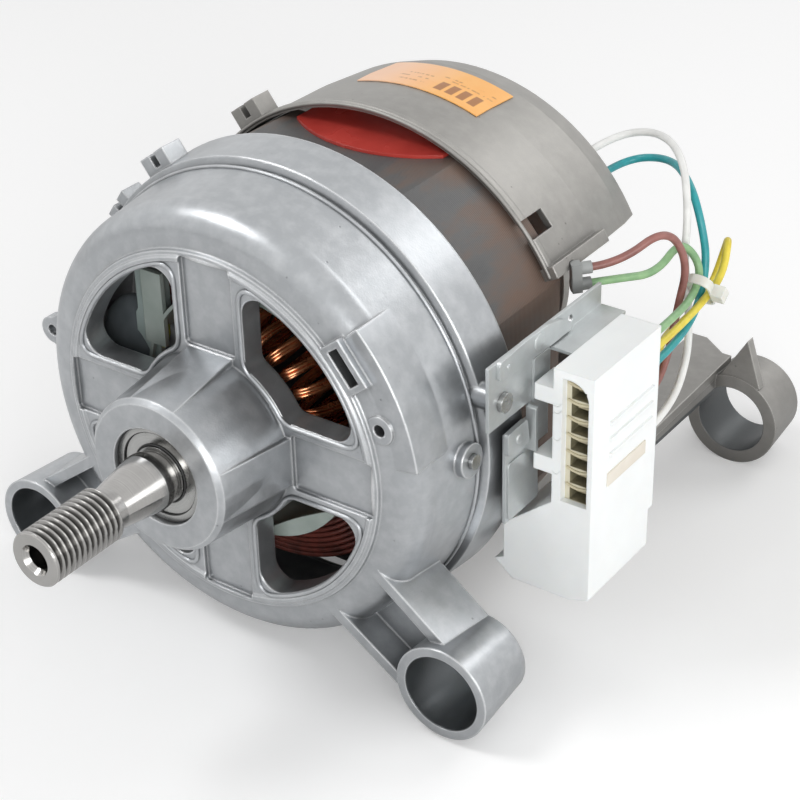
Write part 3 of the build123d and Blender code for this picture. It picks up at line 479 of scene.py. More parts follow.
def bumped(tree, shader, height, strength, depth, normal=None):
    made = node(tree, "ShaderNodeBump")
    made.inputs["Strength"].default_value = strength
    made.inputs["Distance"].default_value = depth * mm
    wire(tree, height, made.inputs["Height"])
    if normal is not None:
        wire(tree, normal, made.inputs["Normal"])
    wire(tree, made.outputs["Normal"], shader.inputs["Normal"])


def edge_share(tree, normal):
    shape = node(tree, "ShaderNodeNewGeometry")
    dot = node(tree, "ShaderNodeVectorMath", operation="DOT_PRODUCT")
    wire(tree, normal, dot.inputs[0])
    wire(tree, shape.outputs["Normal"], dot.inputs[1])
    return levels(tree, dot.outputs["Value"], 0.86, 0.99, 1.0, 0.0)


def hollow_share(tree, reach):
    made = node(tree, "ShaderNodeAmbientOcclusion", samples=6)
    made.inputs["Distance"].default_value = reach * mm
    return levels(tree, made.outputs["AO"], 0.35, 0.9, 1.0, 0.0)


# Castings
def pit_mask(tree, place):
    dots = levels(tree, cells(tree, place, cast_pits), 0.05, 0.11, 1.0, 0.0)
    groups = levels(tree, grain(tree, place, cast_pit_groups, 1.0), 0.57, 0.61, 0.0, 1.0)
    return times(tree, dots, groups)


# Painted shade on the walls inside the mounting bores
def bore_shade_mask(tree, x, z):
    out = minus(tree, sums(tree, "ABSOLUTE", x), lug_x * mm)
    rise = minus(tree, z, lug_z * mm)
    square = sums(tree, "ADD", times(tree, out, out), times(tree, rise, rise))
    reach = sums(tree, "SQRT", square)
    inner, outer = ((lug_r + blur) * mm for blur in bore_blur)
    return levels(tree, reach, inner, outer, bore_shade_share, 0.0)


def cast_metal(name, light, dark, worn_and_highlight, rough, edge, metallic, bottom_shade):
    made, tree, shader = material(name)
    place = places(tree)
    x, _, z = axes(tree, place)
    cloud = grain(tree, place, cast_cloud, 4.0, 0.6)
    patch = grain(tree, place, cast_patch, 3.0, 0.6)
    fine = grain(tree, place, cast_fine, 2.0, 0.6)
    pit = pit_mask(tree, place)
    normal = soft_edge(tree, edge)
    # Dark colour for the pits and for the painted shade in corners
    darkening = shaded(dark, pit_grime_and_corner_shade_tone)
    shadow = shaded(dark, deep_tone)
    colour = two_tone(tree, cloud, dark, light)
    colour = blended(tree, levels(tree, patch, 0.4, 0.75, 0.0, cast_wear), colour, worn_and_highlight)
    colour = blended(tree, times(tree, pit, cast_pit_share), colour, darkening)
    # Painted highlight along the softened edges, in the worn colour
    colour = blended(tree, times(tree, edge_share(tree, normal), cast_edge_highlight_share), colour, worn_and_highlight)
    # Painted shade in corners and deep hollows, from ambient occlusion
    corners = times(tree, hollow_share(tree, corner_reach), corner_shade_share)
    colour = blended(tree, corners, colour, darkening)
    deep = times(tree, hollow_share(tree, deep_reach), deep_shade_share)
    colour = blended(tree, deep, colour, shadow)
    # Painted shade darker towards the bottom
    bottom_shade_mask = levels(tree, z, bottom_shade_low * mm, bottom_shade_high * mm, bottom_shade, 0.0)
    colour = blended(tree, bottom_shade_mask, colour, shadow)
    # Painted shade inside the mounting bores
    colour = blended(tree, bore_shade_mask(tree, x, z), colour, bore_shade_colour)
    wire(tree, colour, shader.inputs["Base Color"])
    shader.inputs["Metallic"].default_value = metallic
    roughened(tree, shader, patch, rough - 0.03, rough + 0.03)
    skin = sums(tree, "ADD", fine, times(tree, patch, 1.6))
    height = minus(tree, skin, times(tree, pit, 2.0))
    bumped(tree, shader, height, 0.25, 0.12, normal)
    return made


# Turned and ground steel
def ring_place(tree, place):
    x, y, z = axes(tree, place)
    joined = node(tree, "ShaderNodeCombineXYZ")
    wire(tree, x, joined.inputs["X"])
    wire(tree, z, joined.inputs["Z"])
    length = node(tree, "ShaderNodeVectorMath", operation="LENGTH")
    wire(tree, joined.outputs["Vector"], length.inputs[0])
    return length.outputs["Value"], y


def turned_steel(name, colour, rough, across_rings):
    made, tree, shader = material(name)
    place = places(tree)
    outward, along = ring_place(tree, place)
    line = node(tree, "ShaderNodeCombineXYZ")
    wire(tree, outward if across_rings else along, line.inputs["Y"])
    rings = grain(tree, line.outputs["Vector"], steel_rings, 3.0, 0.7)
    smudge = grain(tree, place, steel_smudge, 3.0, 0.6)
    shade = two_tone(tree, rings, shaded(colour, 0.72), colour, 0.25)
    smear = levels(tree, smudge, 0.4, 0.75, 0.0, 0.3)
    shade = blended(tree, smear, shade, shaded(colour, 0.6))
    # Painted shade in crevices, from ambient occlusion
    darkening = times(tree, hollow_share(tree, 3.0), 0.85)
    shade = blended(tree, darkening, shade, shaded(colour, 0.12))
    wire(tree, shade, shader.inputs["Base Color"])
    shader.inputs["Metallic"].default_value = 1.0
    roughened(tree, shader, smudge, rough - 0.06, rough + 0.08)
    bumped(tree, shader, rings, 0.25, 0.05, soft_edge(tree, 0.3))
    return made


# Stack of steel sheets
def sheet_stack(name):
    made, tree, shader = material(name)
    place = places(tree)
    x, y, _ = axes(tree, place)
    lines = node(tree, "ShaderNodeTexWave", wave_type="BANDS", bands_direction="Y")
    lines.inputs["Scale"].default_value = stack_lines
    lines.inputs["Distortion"].default_value = 0.3
    wire(tree, place, lines.inputs["Vector"])
    sheets = lines.outputs["Fac"]
    cloud = grain(tree, places(tree, (1.0, 0.35, 1.0)), stack_cloud, 5.0, 0.65)
    rear_rust = levels(tree, y, rust_front * mm, rust_rear * mm, -0.12, 0.16)
    side_rust = levels(tree, x, 0.0, rust_side * mm, -0.05, 0.07)
    rust = sums(tree, "ADD", rear_rust, side_rust)
    colour = ramp(tree, sums(tree, "ADD", cloud, rust), stack_tones)
    lit = blended(tree, levels(tree, sheets, 0.1, 0.9, 0.0, 0.3), colour, stack_sheen)
    wire(tree, blended(tree, 0.2, lit, (0.0, 0.0, 0.0)), shader.inputs["Base Color"])
    shader.inputs["Metallic"].default_value = 0.35
    roughened(tree, shader, cloud, 0.42, 0.62)
    bumped(tree, shader, sheets, 0.5, 0.12, soft_edge(tree, 0.4))
    return made


# Moulded plastic
def moulded(name, light, dark, rough, cloud_scale=60.0, edge=0.4, through=0.0):
    made, tree, shader = material(name)
    place = places(tree)
    cloud = grain(tree, place, cloud_scale, 3.0, 0.55)
    fine = grain(tree, place, moulded_fine, 2.0)
    wire(tree, two_tone(tree, cloud, dark, light, 0.35, 0.65), shader.inputs["Base Color"])
    roughened(tree, shader, cloud, rough - 0.05, rough + 0.05)
    shader.inputs["Subsurface Weight"].default_value = through
    shader.inputs["Subsurface Radius"].default_value = (2.0 * mm, 1.6 * mm, 1.3 * mm)
    shader.inputs["Subsurface Scale"].default_value = 1.0
    bumped(tree, shader, fine, 0.15, 0.06, soft_edge(tree, edge))
    return made


def housing_plastic(name, light, lining, rib):
    made = moulded(name, light, shaded(light, 0.965), 0.45, 50.0, 0.6, 0.15)
    tree = made.node_tree
    shader = tree.nodes["Principled BSDF"]
    plain = shader.inputs["Base Color"].links[0].from_socket
    x, y, z = axes(tree, places(tree))
    across = inside(tree, x, well_left * mm, well_right * mm, well_side_blur * mm)
    upward = inside(tree, z, well_low * mm, well_top * mm, well_side_blur * mm)
    well = times(tree, across, upward)
    inner = inside(tree, y, well_floor * mm, well_end * mm, well_floor_blur * mm)
    mouth = (well_floor - well_rim) * mm
    rim = inside(tree, y, mouth, well_floor * mm, well_floor_blur * mm)
    # Darker olive colour on the walls inside the wells
    mottle = grain(tree, places(tree), well_mottle, 3.0, 0.6)
    dark = two_tone(tree, mottle, shaded(lining, 0.6), lining, 0.35, 0.65)
    colour = blended(tree, times(tree, well, inner), plain, dark)
    edge = times(tree, times(tree, well, rim), 0.8)
    wire(tree, blended(tree, edge, colour, rib), shader.inputs["Base Color"])
    return made


# Enamelled, varnished and bare strands
def strand_finish(name, light, dark, metallic, rough):
    made, tree, shader = material(name)
    place = places(tree)
    cloud = grain(tree, place, strand_cloud, 4.0, 0.6)
    fine = grain(tree, place, strand_fine, 2.0)
    wire(tree, two_tone(tree, cloud, dark, light, high=0.62), shader.inputs["Base Color"])
    shader.inputs["Metallic"].default_value = metallic
    roughened(tree, shader, cloud, rough - 0.06, rough + 0.1)
    shader.inputs["Coat Weight"].default_value = 0.3
    shader.inputs["Coat Roughness"].default_value = 0.2
    bumped(tree, shader, fine, 0.2, 0.05)
    return made


# Plated sheet
def plated_sheet(name):
    made, tree, shader = material(name)
    place = places(tree)
    flakes = cells(tree, place, sheet_flakes)
    brush = grain(tree, places(tree, (1.0, 0.06, 1.0)), sheet_brush, 3.0, 0.6)
    cloud = grain(tree, place, sheet_cloud, 4.0, 0.6)
    tone = two_tone(tree, cloud, (0.50, 0.525, 0.525), (0.60, 0.63, 0.63))
    share = levels(tree, flakes, 0.1, 0.7, 0.0, 0.3)
    wire(tree, blended(tree, share, tone, (0.55, 0.55, 0.56)), shader.inputs["Base Color"])
    shader.inputs["Metallic"].default_value = 0.8
    roughened(tree, shader, brush, 0.36, 0.46)
    bumped(tree, shader, brush, 0.2, 0.05, soft_edge(tree, 0.3))
    return made


# Printed film of the label
def label_bars(tree, angle, along):
    count = sums(tree, "DIVIDE", minus(tree, angle, bar_low), bar_step)
    step = sums(tree, "FRACT", count)
    bars = inside(tree, step, bar_open, bar_close, 0.04)
    bars = times(tree, bars, inside(tree, angle, bar_low, bar_low + bar_step * bar_count, 0.05))
    return times(tree, bars, inside(tree, along, bar_front * mm, bar_back * mm, 0.2 * mm))


def label_lines(tree, angle, along):
    rows = 0.0
    for front, low, high in row_places:
        row = inside(tree, along, front * mm, (front + row_width) * mm, 0.15 * mm)
        rows = sums(tree, "MAXIMUM", times(tree, row, inside(tree, angle, low, high, 0.3)), rows)
    gaps = grain(tree, places(tree, (1.0, 0.2, 1.0)), label_rows, 1.0)
    return times(tree, rows, levels(tree, gaps, 0.42, 0.52, 0.0, 1.0))


def printed_label(name):
    made, tree, shader = material(name)
    place = places(tree)
    x, along, z = axes(tree, place)
    angle = times(tree, sums(tree, "ARCTAN2", z, x), 360.0 / full_turn)
    film = two_tone(tree, grain(tree, place, label_cloud), film_colour, film_light)
    # Painted highlight paling the film towards one end
    highlight = levels(tree, angle, highlight_first_deg, highlight_last_deg, 0.0, highlight_share)
    film = blended(tree, highlight, film, film_highlight)
    bars = times(tree, label_bars(tree, angle, along), bar_ink)
    rows = times(tree, label_lines(tree, angle, along), row_ink)
    ink = sums(tree, "MAXIMUM", bars, rows)
    wire(tree, blended(tree, ink, film, ink_colour), shader.inputs["Base Color"])
    shader.inputs["Roughness"].default_value = 0.42
    bumped(tree, shader, grain(tree, place, label_fine, 2.0), 0.1, 0.05)
    return made


finishes = {
    "cast_front": cast_metal(
        "die_cast_bright", light=(0.435, 0.451, 0.467), dark=(0.395, 0.41, 0.425),
        worn_and_highlight=(0.92, 0.93, 0.94), rough=0.32, edge=1.1, metallic=0.8, bottom_shade=0.0),
    "cast_rear": cast_metal(
        "die_cast_matte", light=(0.34, 0.33, 0.312), dark=(0.285, 0.277, 0.262),
        worn_and_highlight=(0.62, 0.60, 0.57), rough=0.44, edge=0.8, metallic=0.55, bottom_shade=0.45),
    "lamination": sheet_stack("sheet_stack"),
    "steel": turned_steel("bearing_steel", (0.52, 0.52, 0.51), 0.24, across_rings=True),
    "shaft_steel": turned_steel("turned_shaft", (0.50, 0.49, 0.475), 0.16, across_rings=False),
    "plated_sheet": plated_sheet("plated_sheet"),
    "coil_varnish": strand_finish(
        "coil_varnish", (0.23, 0.06, 0.045), (0.08, 0.03, 0.025), 0.1, 0.35),
    "coil_frame": moulded("frame_plastic", (0.38, 0.43, 0.40), (0.28, 0.33, 0.30), 0.5),
    "coil_tape": moulded("coil_tape", (0.17, 0.19, 0.20), (0.085, 0.10, 0.11), 0.34, 45.0),
    "rib_plastic": moulded("rib_plastic", (0.66, 0.60, 0.42), (0.56, 0.50, 0.34), 0.5),
    "sleeve_grey": moulded("sleeve_grey", (0.34, 0.35, 0.345), (0.27, 0.28, 0.275), 0.45),
    "coil_post": moulded("post_plastic", (0.42, 0.50, 0.48), (0.34, 0.42, 0.40), 0.45),
    "coil_mark": moulded("mark_plastic", (0.45, 0.50, 0.10), (0.36, 0.42, 0.08), 0.45),
    "insulator": moulded("red_insulator", (0.62, 0.07, 0.055), (0.46, 0.045, 0.035), 0.24, 40.0),
    "sleeve": moulded("dark_sleeve", (0.05, 0.05, 0.05), (0.03, 0.03, 0.03), 0.5),
    "copper": strand_finish("bare_copper", (0.88, 0.40, 0.20), (0.55, 0.19, 0.08), 0.95, 0.26),
    "black_plastic": moulded(
        "black_plastic", (0.045, 0.045, 0.045), (0.025, 0.025, 0.025), 0.45),
    "magnet": moulded("magnet", (0.09, 0.09, 0.095), (0.05, 0.05, 0.055), 0.4),
    "label": printed_label("orange_film"),
    "carbon": moulded("brush_carbon", (0.06, 0.06, 0.065), (0.03, 0.03, 0.033), 0.55),
    "white_plastic": housing_plastic(
        "housing_white", light=(0.90, 0.92, 0.915), lining=(0.30, 0.27, 0.17),
        rib=(0.62, 0.56, 0.38)),
    "beige_plastic": moulded("insert_beige", (0.80, 0.75, 0.66), (0.74, 0.68, 0.58), 0.5),
    "tinned_brass": strand_finish(
        "tinned_brass", (0.60, 0.54, 0.38), (0.30, 0.26, 0.16), 0.9, 0.3),
    "wire_white": moulded("wire_white", (0.84, 0.84, 0.82), (0.76, 0.76, 0.74), 0.36, 200.0),
    "wire_teal": moulded("wire_teal", (0.03, 0.36, 0.38), (0.02, 0.27, 0.30), 0.36, 200.0),
    "wire_brown": moulded("wire_brown", (0.33, 0.14, 0.12), (0.24, 0.10, 0.085), 0.38, 200.0),
    "wire_green": moulded("wire_green", (0.30, 0.50, 0.25), (0.22, 0.40, 0.20), 0.38, 200.0),
    "wire_yellow": moulded("wire_yellow", (0.85, 0.70, 0.08), (0.72, 0.58, 0.06), 0.36, 200.0),
    "tie_plastic": moulded(
        "tie_plastic", (0.80, 0.80, 0.74), (0.72, 0.72, 0.66), 0.3, 120.0, 0.3, 0.4),
}


# Camera, lights and floor
def linked(name, data):
    made = bpy.data.objects.new(name, data)
    bpy.context.scene.collection.objects.link(made)
    return made


def set_camera():
    azimuth, elevation, roll = camera_azimuth, camera_elevation, camera_roll
    right = Vector((math.cos(azimuth), math.sin(azimuth), 0.0))
    up = Vector((
        -math.sin(azimuth) * math.sin(elevation), math.cos(azimuth) * math.sin(elevation),
        math.cos(elevation)))
    back = right.cross(up)
    turned_right = right * math.cos(roll) + up * math.sin(roll)
    turned_up = up * math.cos(roll) - right * math.sin(roll)
    data = bpy.data.cameras.new("photo_camera")
    data.lens = camera_lens
    data.sensor_width = camera_sensor
    data.clip_start = camera_near
    data.clip_end = camera_far
    camera = linked("photo_camera", data)
    turn = Matrix((turned_right, turned_up, back)).transposed().to_4x4()
    camera.matrix_world = Matrix.Translation(camera_place) @ turn
    bpy.context.scene.camera = camera


def softbox(name, place, size, power):
    data = bpy.data.lights.new(name, "AREA")
    data.shape = "RECTANGLE"
    data.size, data.size_y = size
    data.energy = power
    lamp = linked(name, data)
    direction = Vector(light_target) - Vector(place)
    lamp.rotation_euler = direction.to_track_quat("-Z", "Y").to_euler()
    lamp.location = place


def set_world():
    world = bpy.data.worlds.new("studio")
    world.use_nodes = True
    bpy.context.scene.world = world
    tree = world.node_tree
    ground = tree.nodes["Background"]
    path = node(tree, "ShaderNodeLightPath")
    seen = sums(tree, "MAXIMUM", path.outputs["Is Camera Ray"], path.outputs["Is Glossy Ray"])
    seen = sums(tree, "MAXIMUM", seen, path.outputs["Is Transmission Ray"])
    ground.inputs["Color"].default_value = white
    glow = levels(tree, seen, 0.0, 1.0, room_glow, seen_glow)
    wire(tree, glow, ground.inputs["Strength"])


def floor_finish():
    made, tree, shader = material("pale_floor")
    shader.inputs["Base Color"].default_value = (floor_tone, floor_tone, floor_tone, 1.0)
    shader.inputs["Roughness"].default_value = floor_rough
    shader.inputs["Specular IOR Level"].default_value = 0.0
    shader.inputs["Emission Color"].default_value = white
    path = node(tree, "ShaderNodeLightPath")
    lift = times(tree, path.outputs["Is Camera Ray"], floor_lift)
    wire(tree, lift, shader.inputs["Emission Strength"])
    return made


def set_floor():
    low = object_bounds()[0][2]
    signs = ((-1, -1), (1, -1), (1, 1), (-1, 1))
    corners = [(x * floor_reach, y * floor_reach, low) for x, y in signs]
    mesh = bpy.data.meshes.new("floor")
    mesh.from_pydata(corners, [], [(0, 1, 2, 3)])
    floor = linked("floor", mesh)
    floor.data.materials.append(floor_finish())


set_camera()
set_world()
for box in softboxes:
    softbox(*box)
set_floor()


# Cords
routes = {
    "white": [
        (49, rear_wall_y, 55), (49, 204.3, 55), (67.5, 203.5, 61.5), (86, 188, 62),
        (94.5, 177.5, 46), (95.8, 173.5, 30), (96.9, 177, 12.5), (105, 163, -1),
        (108.5, 144, -12), (108.5, housing_end, -12)],
    "teal": [
        (54, rear_wall_y, 47), (54, 204, 47), (73, 203, 52.5), (90, 186, 54), (98, 181, 42),
        (101.5, 180.5, 27), (103, 171, 11.5), (106, 145, 9.5), (106, housing_end, 9.5)],
    "brown": [
        sleeve_mouth, (89, 140, 41.5), (99, 153.5, 52), (101.5, 166, 34), (99.5, 163, 16),
        (101, 155, 1), (103, 141, -5.5), (103, housing_end, -5.5)],
    "green": [
        green_mouth, (89, 140, 35.5), (95, 155, 32.5), (96, 170, 39.5), (102, 175.5, 28.5),
        (104, 166, 21), (106, 145, 21.5), (106, housing_end, 21.5)],
    "yellow": [
        (106, housing_end, 15.5), (106, 144, 15.5), (105.5, 168, 17), (106, 184, 22),
        (104, 191, 34), (100, 197, 26), (97.5, 194, 12), (96.5, 180, 5), (96, 162, 6),
        (101, 144, 3.5), (101, housing_end, 3.5)],
}


def curve_with(name, kind, lines):
    data = bpy.data.curves.new(name, "CURVE")
    data.dimensions = "3D"
    for points in lines:
        line = data.splines.new(kind)
        line.points.add(len(points) - 1)
        for target, point in zip(line.points, points):
            target.co = (*(value * mm for value in point), 1.0)
    return data


def wire_curve(name, points):
    data = curve_with(name, "NURBS", [points])
    line = data.splines[0]
    line.order_u = wire_order
    line.use_endpoint_u = True
    line.resolution_u = wire_smoothness
    data.resolution_u = wire_smoothness
    data.bevel_depth = wire_diameter * 0.5
    data.bevel_resolution = wire_sides
    data.use_fill_caps = True
    return linked(name, data)


for colour, points in routes.items():
    lead = wire_curve("wire_" + colour, points)
    lead.data.materials.append(finishes["wire_" + colour])
    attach(lead, "motor")
    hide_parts("lead_" + colour)


# Tree that lays round strands side by side along a curve
def tree_with(name, numbers):
    tree = bpy.data.node_groups.new(name, "GeometryNodeTree")
    tree.interface.new_socket("Geometry", in_out="INPUT", socket_type="NodeSocketGeometry")
    for label, kind in numbers:
        tree.interface.new_socket(label, in_out="INPUT", socket_type=kind)
    tree.interface.new_socket("Geometry", in_out="OUTPUT", socket_type="NodeSocketGeometry")
    return tree, node(tree, "NodeGroupInput"), node(tree, "NodeGroupOutput")


def finished(tree, geometry, start, finish):
    real = node(tree, "GeometryNodeRealizeInstances")
    painted = node(tree, "GeometryNodeSetMaterial")
    wire(tree, geometry, real.inputs["Geometry"])
    wire(tree, real.outputs["Geometry"], painted.inputs["Geometry"])
    wire(tree, start.outputs["Material"], painted.inputs["Material"])
    wire(tree, painted.outputs["Geometry"], finish.inputs["Geometry"])


def strand_shift(tree, start, copies):
    along = node(tree, "GeometryNodeSplineParameter")
    share = sums(tree, "DIVIDE", copies.outputs["Duplicate Index"], start.outputs["Strands"])
    twist = times(tree, along.outputs["Length"], start.outputs["Twist"])
    angle = sums(tree, "ADD", times(tree, share, full_turn), twist)
    normal = node(tree, "GeometryNodeInputNormal").outputs["Normal"]
    tangent = node(tree, "GeometryNodeInputTangent").outputs["Tangent"]
    side = node(tree, "ShaderNodeVectorMath", operation="CROSS_PRODUCT")
    wire(tree, tangent, side.inputs[0])
    wire(tree, normal, side.inputs[1])
    shift = node(tree, "ShaderNodeVectorMath", operation="ADD")
    directions = ((normal, "COSINE"), (side.outputs["Vector"], "SINE"))
    for target, (direction, kind) in zip(shift.inputs, directions):
        scaled = node(tree, "ShaderNodeVectorMath", operation="SCALE")
        reach = times(tree, sums(tree, kind, angle), start.outputs["Spread"])
        wire(tree, direction, scaled.inputs[0])
        wire(tree, reach, scaled.inputs["Scale"])
        wire(tree, scaled.outputs["Vector"], target)
    return shift.outputs["Vector"]


def bundle_tree():
    tree, start, finish = tree_with("wire_bundle", [
        ("Strands", "NodeSocketInt"), ("Spread", "NodeSocketFloat"),
        ("Strand Radius", "NodeSocketFloat"), ("Twist", "NodeSocketFloat"),
        ("Material", "NodeSocketMaterial")])
    copies = node(tree, "GeometryNodeDuplicateElements", domain="SPLINE")
    wire(tree, start.outputs["Geometry"], copies.inputs["Geometry"])
    wire(tree, start.outputs["Strands"], copies.inputs["Amount"])
    placed = node(tree, "GeometryNodeSetPosition")
    wire(tree, copies.outputs["Geometry"], placed.inputs["Geometry"])
    wire(tree, strand_shift(tree, start, copies), placed.inputs["Offset"])
    section = node(tree, "GeometryNodeCurvePrimitiveCircle")
    section.inputs["Resolution"].default_value = strand_sides
    wire(tree, start.outputs["Strand Radius"], section.inputs["Radius"])
    tube = node(tree, "GeometryNodeCurveToMesh")
    tube.inputs["Fill Caps"].default_value = True
    wire(tree, placed.outputs["Geometry"], tube.inputs["Curve"])
    wire(tree, section.outputs["Curve"], tube.inputs["Profile Curve"])
    smooth = node(tree, "GeometryNodeSetShadeSmooth")
    wire(tree, tube.outputs["Mesh"], smooth.inputs["Geometry"])
    finished(tree, smooth.outputs["Geometry"], start, finish)
    return tree


bundle = bundle_tree()


def line_object(name, lines, closed):
    data = curve_with(name, "POLY", lines)
    for line in data.splines:
        line.use_cyclic_u = closed
    return linked(name, data)


def grown(name, source, tree, values):
    change = source.modifiers.new("grow", "NODES")
    change.node_group = tree
    for item in tree.interface.items_tree:
        if item.item_type == "SOCKET" and item.in_out == "INPUT" and item.name in values:
            change[item.identifier] = values[item.name]
    bpy.context.view_layer.update()
    ready = source.evaluated_get(bpy.context.evaluated_depsgraph_get())
    mesh = bpy.data.meshes.new_from_object(ready)
    source.modifiers.remove(change)
    bpy.data.objects.remove(source)
    return linked(name, mesh)


def wound_piece(
        name, lines, finish, radius, *nodes, closed=True, strands=1, spread=0.0, twist=0.0,
        body="motor"):
    values = {
        "Strands": strands, "Spread": spread * mm, "Strand Radius": radius * mm,
        "Twist": twist / mm, "Material": finishes[finish]}
    piece = grown(name, line_object(name, lines, closed), bundle, values)
    if nodes:
        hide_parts(*nodes)
    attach(piece, body)
    return piece


# Armature windings
def wound_ring(mean, half_width, middle, half_length, loops, steps):
    points = []
    for index in range(loops * steps):
        angle = full_turn * index / (loops * steps)
        turn = full_turn * index / steps
        radius = mean + half_width * math.cos(turn)
        y = middle - half_length * math.sin(turn)
        points.append((radius * math.cos(angle), y, radius * math.sin(angle)))
    return points


front_ring = wound_ring(
    winding_mean, winding_half, front_winding_y, front_winding_half, front_winding_loops,
    front_winding_steps)
wound_piece(
    "front_winding", [front_ring], "copper", front_strand_radius, "armature_winding_front",
    strands=bundle_strands, spread=front_strand_spread, twist=bundle_twist, body="rotor")
rear_ring = wound_ring(
    rear_winding_mean, rear_winding_half, rear_winding_y, rear_winding_half_y,
    rear_winding_loops, rear_winding_steps)
wound_piece(
    "rear_winding", [rear_ring], "copper", rear_strand_radius, "armature_winding_rear",
    strands=bundle_strands, spread=rear_strand_spread, twist=bundle_twist, body="rotor")


# Field windings
def saddle_loop(row, layer, side):
    radius = coil_inner + (coil_outer - coil_inner) * (layer + 0.5) / coil_layers
    share = (row + 0.5) / coil_rows
    first = math.radians(coil_first_deg + coil_leg_deg * share)
    front = coil_front_y + coil_thick * share
    back = coil_back_y - coil_thick * share
    corner = coil_corner + coil_corner_gain * (1 - share)
    start, end = first, math.pi - first
    points = []
    for here, there in ((front, back), (back, front)):
        turn = math.copysign(corner, end - start)
        inward = math.copysign(1.0, there - here)
        span = end - start - 2 * turn
        for step in range(coil_arc_steps + 1):
            points.append((start + turn + span * step / coil_arc_steps, here))
        lean = end - turn * coil_bend_share
        points.append((lean, here + inward * coil_bend_near))
        leg_start = here + inward * coil_bend_far
        leg = there - inward * coil_bend_far - leg_start
        for step in range(coil_leg_steps + 1):
            points.append((end, leg_start + leg * step / coil_leg_steps))
        points.append((lean, there - inward * coil_bend_near))
        start, end = end, start
    return [(radius * math.cos(angle), y, side * radius * math.sin(angle)) for angle, y in points]


coil_grid = [(row, layer) for row in range(coil_rows) for layer in range(coil_layers)]
for label, side in (("upper", 1), ("lower", -1)):
    loops = [saddle_loop(row, layer, side) for row, layer in coil_grid]
    wound_piece(
        "field_winding_" + label, loops, "coil_varnish", coil_wire_radius, "field_coil_" + label)


# Lofted pieces
def lofted(name, rings, finish):
    mesh = bpy.data.meshes.new(name)
    count = len(rings[0])
    points = [tuple(value * mm for value in point) for ring in rings for point in ring]
    faces = []
    for index in range(len(rings) - 1):
        here = index * count
        there = here + count
        for step in range(count):
            after = (step + 1) % count
            faces.append((here + step, here + after, there + after, there + step))
    faces.append(tuple(range(count)))
    faces.append(tuple(range((len(rings) - 1) * count, len(rings) * count)))
    mesh.from_pydata(points, [], faces)
    work = bmesh.new()
    work.from_mesh(mesh)
    bmesh.ops.recalc_face_normals(work, faces=work.faces)
    work.to_mesh(mesh)
    work.free()
    mesh.shade_smooth()
    made = linked(name, mesh)
    made.data.materials.append(finishes[finish])
    crease = made.modifiers.new("crease", "EDGE_SPLIT")
    crease.split_angle = math.radians(crease_deg)
    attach(made, "motor")
    return made


# Steel bracket plates and dimples
def bent(start, corner, end, share):
    near, middle, far = (1 - share) ** 2, 2 * share * (1 - share), share ** 2
    return tuple(a * near + b * middle + c * far for a, b, c in zip(start, corner, end))


def rounded(corners, radius):
    points = []
    for index, corner in enumerate(corners):
        here = Vector(corner)
        sides = []
        for other in (corners[index - 1], corners[(index + 1) % len(corners)]):
            step = Vector(other) - here
            sides.append(here + step * min(radius / step.length, corner_limit))
        for part in range(corner_steps + 1):
            points.append(bent(sides[0], here, sides[1], part / corner_steps))
    return points


def bracket_plate(name, corners, near, far, round_off):
    outline = rounded(corners, round_off)
    rings = [[(x, y, z) for y, z in outline] for x in (near, far)]
    made = lofted(name, rings, "plated_sheet")
    edge = made.modifiers.new("edge", "BEVEL")
    edge.width = plate_edge * mm
    edge.segments = plate_edge_steps
    edge.limit_method = "ANGLE"


def dimple_rings(middle, radius, height):
    x, y, z = middle
    rings = []
    for lift, share in dimple_profile:
        ring = []
        for step in range(circle_steps):
            turn = full_turn * step / circle_steps
            ring.append((
                x + height * lift, y + radius * share * math.cos(turn),
                z + radius * share * math.sin(turn)))
        rings.append(ring)
    return rings


for plate in bracket_plates:
    bracket_plate(*plate)
for name, middle, radius, height in bracket_dimples:
    lofted(name, dimple_rings(middle, radius, height), "plated_sheet")


# Coil formers seen through the front windows
def dome_rings():
    rings = []
    for level in range(dome_levels + 1):
        lean = math.radians(dome_first_deg + dome_span_deg * level / dome_levels)
        wide = math.sin(lean)
        y = dome_middle[1] - dome_half[1] * math.cos(lean)
        ring = []
        for step in range(dome_steps):
            turn = full_turn * step / dome_steps
            reach = wide * (1.0 + dome_wave * math.cos(dome_lobes * turn + dome_phase))
            x = dome_middle[0] + dome_half[0] * reach * math.cos(turn)
            z = dome_middle[2] + dome_half[2] * reach * math.sin(turn)
            ring.append((x, y, z))
        rings.append(ring)
    return rings


def collar_rings():
    edge = collar_outer - collar_lip
    wall = collar_outer - collar_wall
    floor_y = collar_front + collar_floor
    rings = []
    for step in range(collar_steps + 1):
        share = step / collar_steps
        angle = math.radians(collar_first_deg + (collar_last_deg - collar_first_deg) * share)
        lip = edge - (edge - collar_inner) * math.sin(math.pi * share) ** collar_curve
        section = [
            (lip, collar_front), (collar_outer, collar_front), (collar_outer, coil_front_y),
            (wall, coil_front_y), (wall, floor_y), (lip, floor_y)]
        rings.append([(r * math.cos(angle), y, r * math.sin(angle)) for r, y in section])
    return rings


def post_rings():
    rings = []
    for low, high, shift in post_stations:
        for z in (low, high):
            rings.append([(x + shift, y, z) for x, y in post_section])
    return rings


post_edge_rings = [[(x, y, z) for x, y in post_edge] for z in post_edge_heights]
lofted("coil_end_cover", dome_rings(), "coil_tape")
lofted("coil_collar", collar_rings(), "coil_frame")
lofted("coil_post", post_rings(), "coil_post")
lofted("coil_post_edge", post_edge_rings, "coil_mark")


# Latches and ribs of the terminal housing
def rib_line(index):
    height = rib_top - rib_pitch * index
    points = []
    for step in range(rib_steps + 1):
        share = step / rib_steps
        x = rib_left + (rib_right - rib_left) * share
        points.append((x, rib_y, height - rib_sag * math.sin(math.pi * share)))
    return points


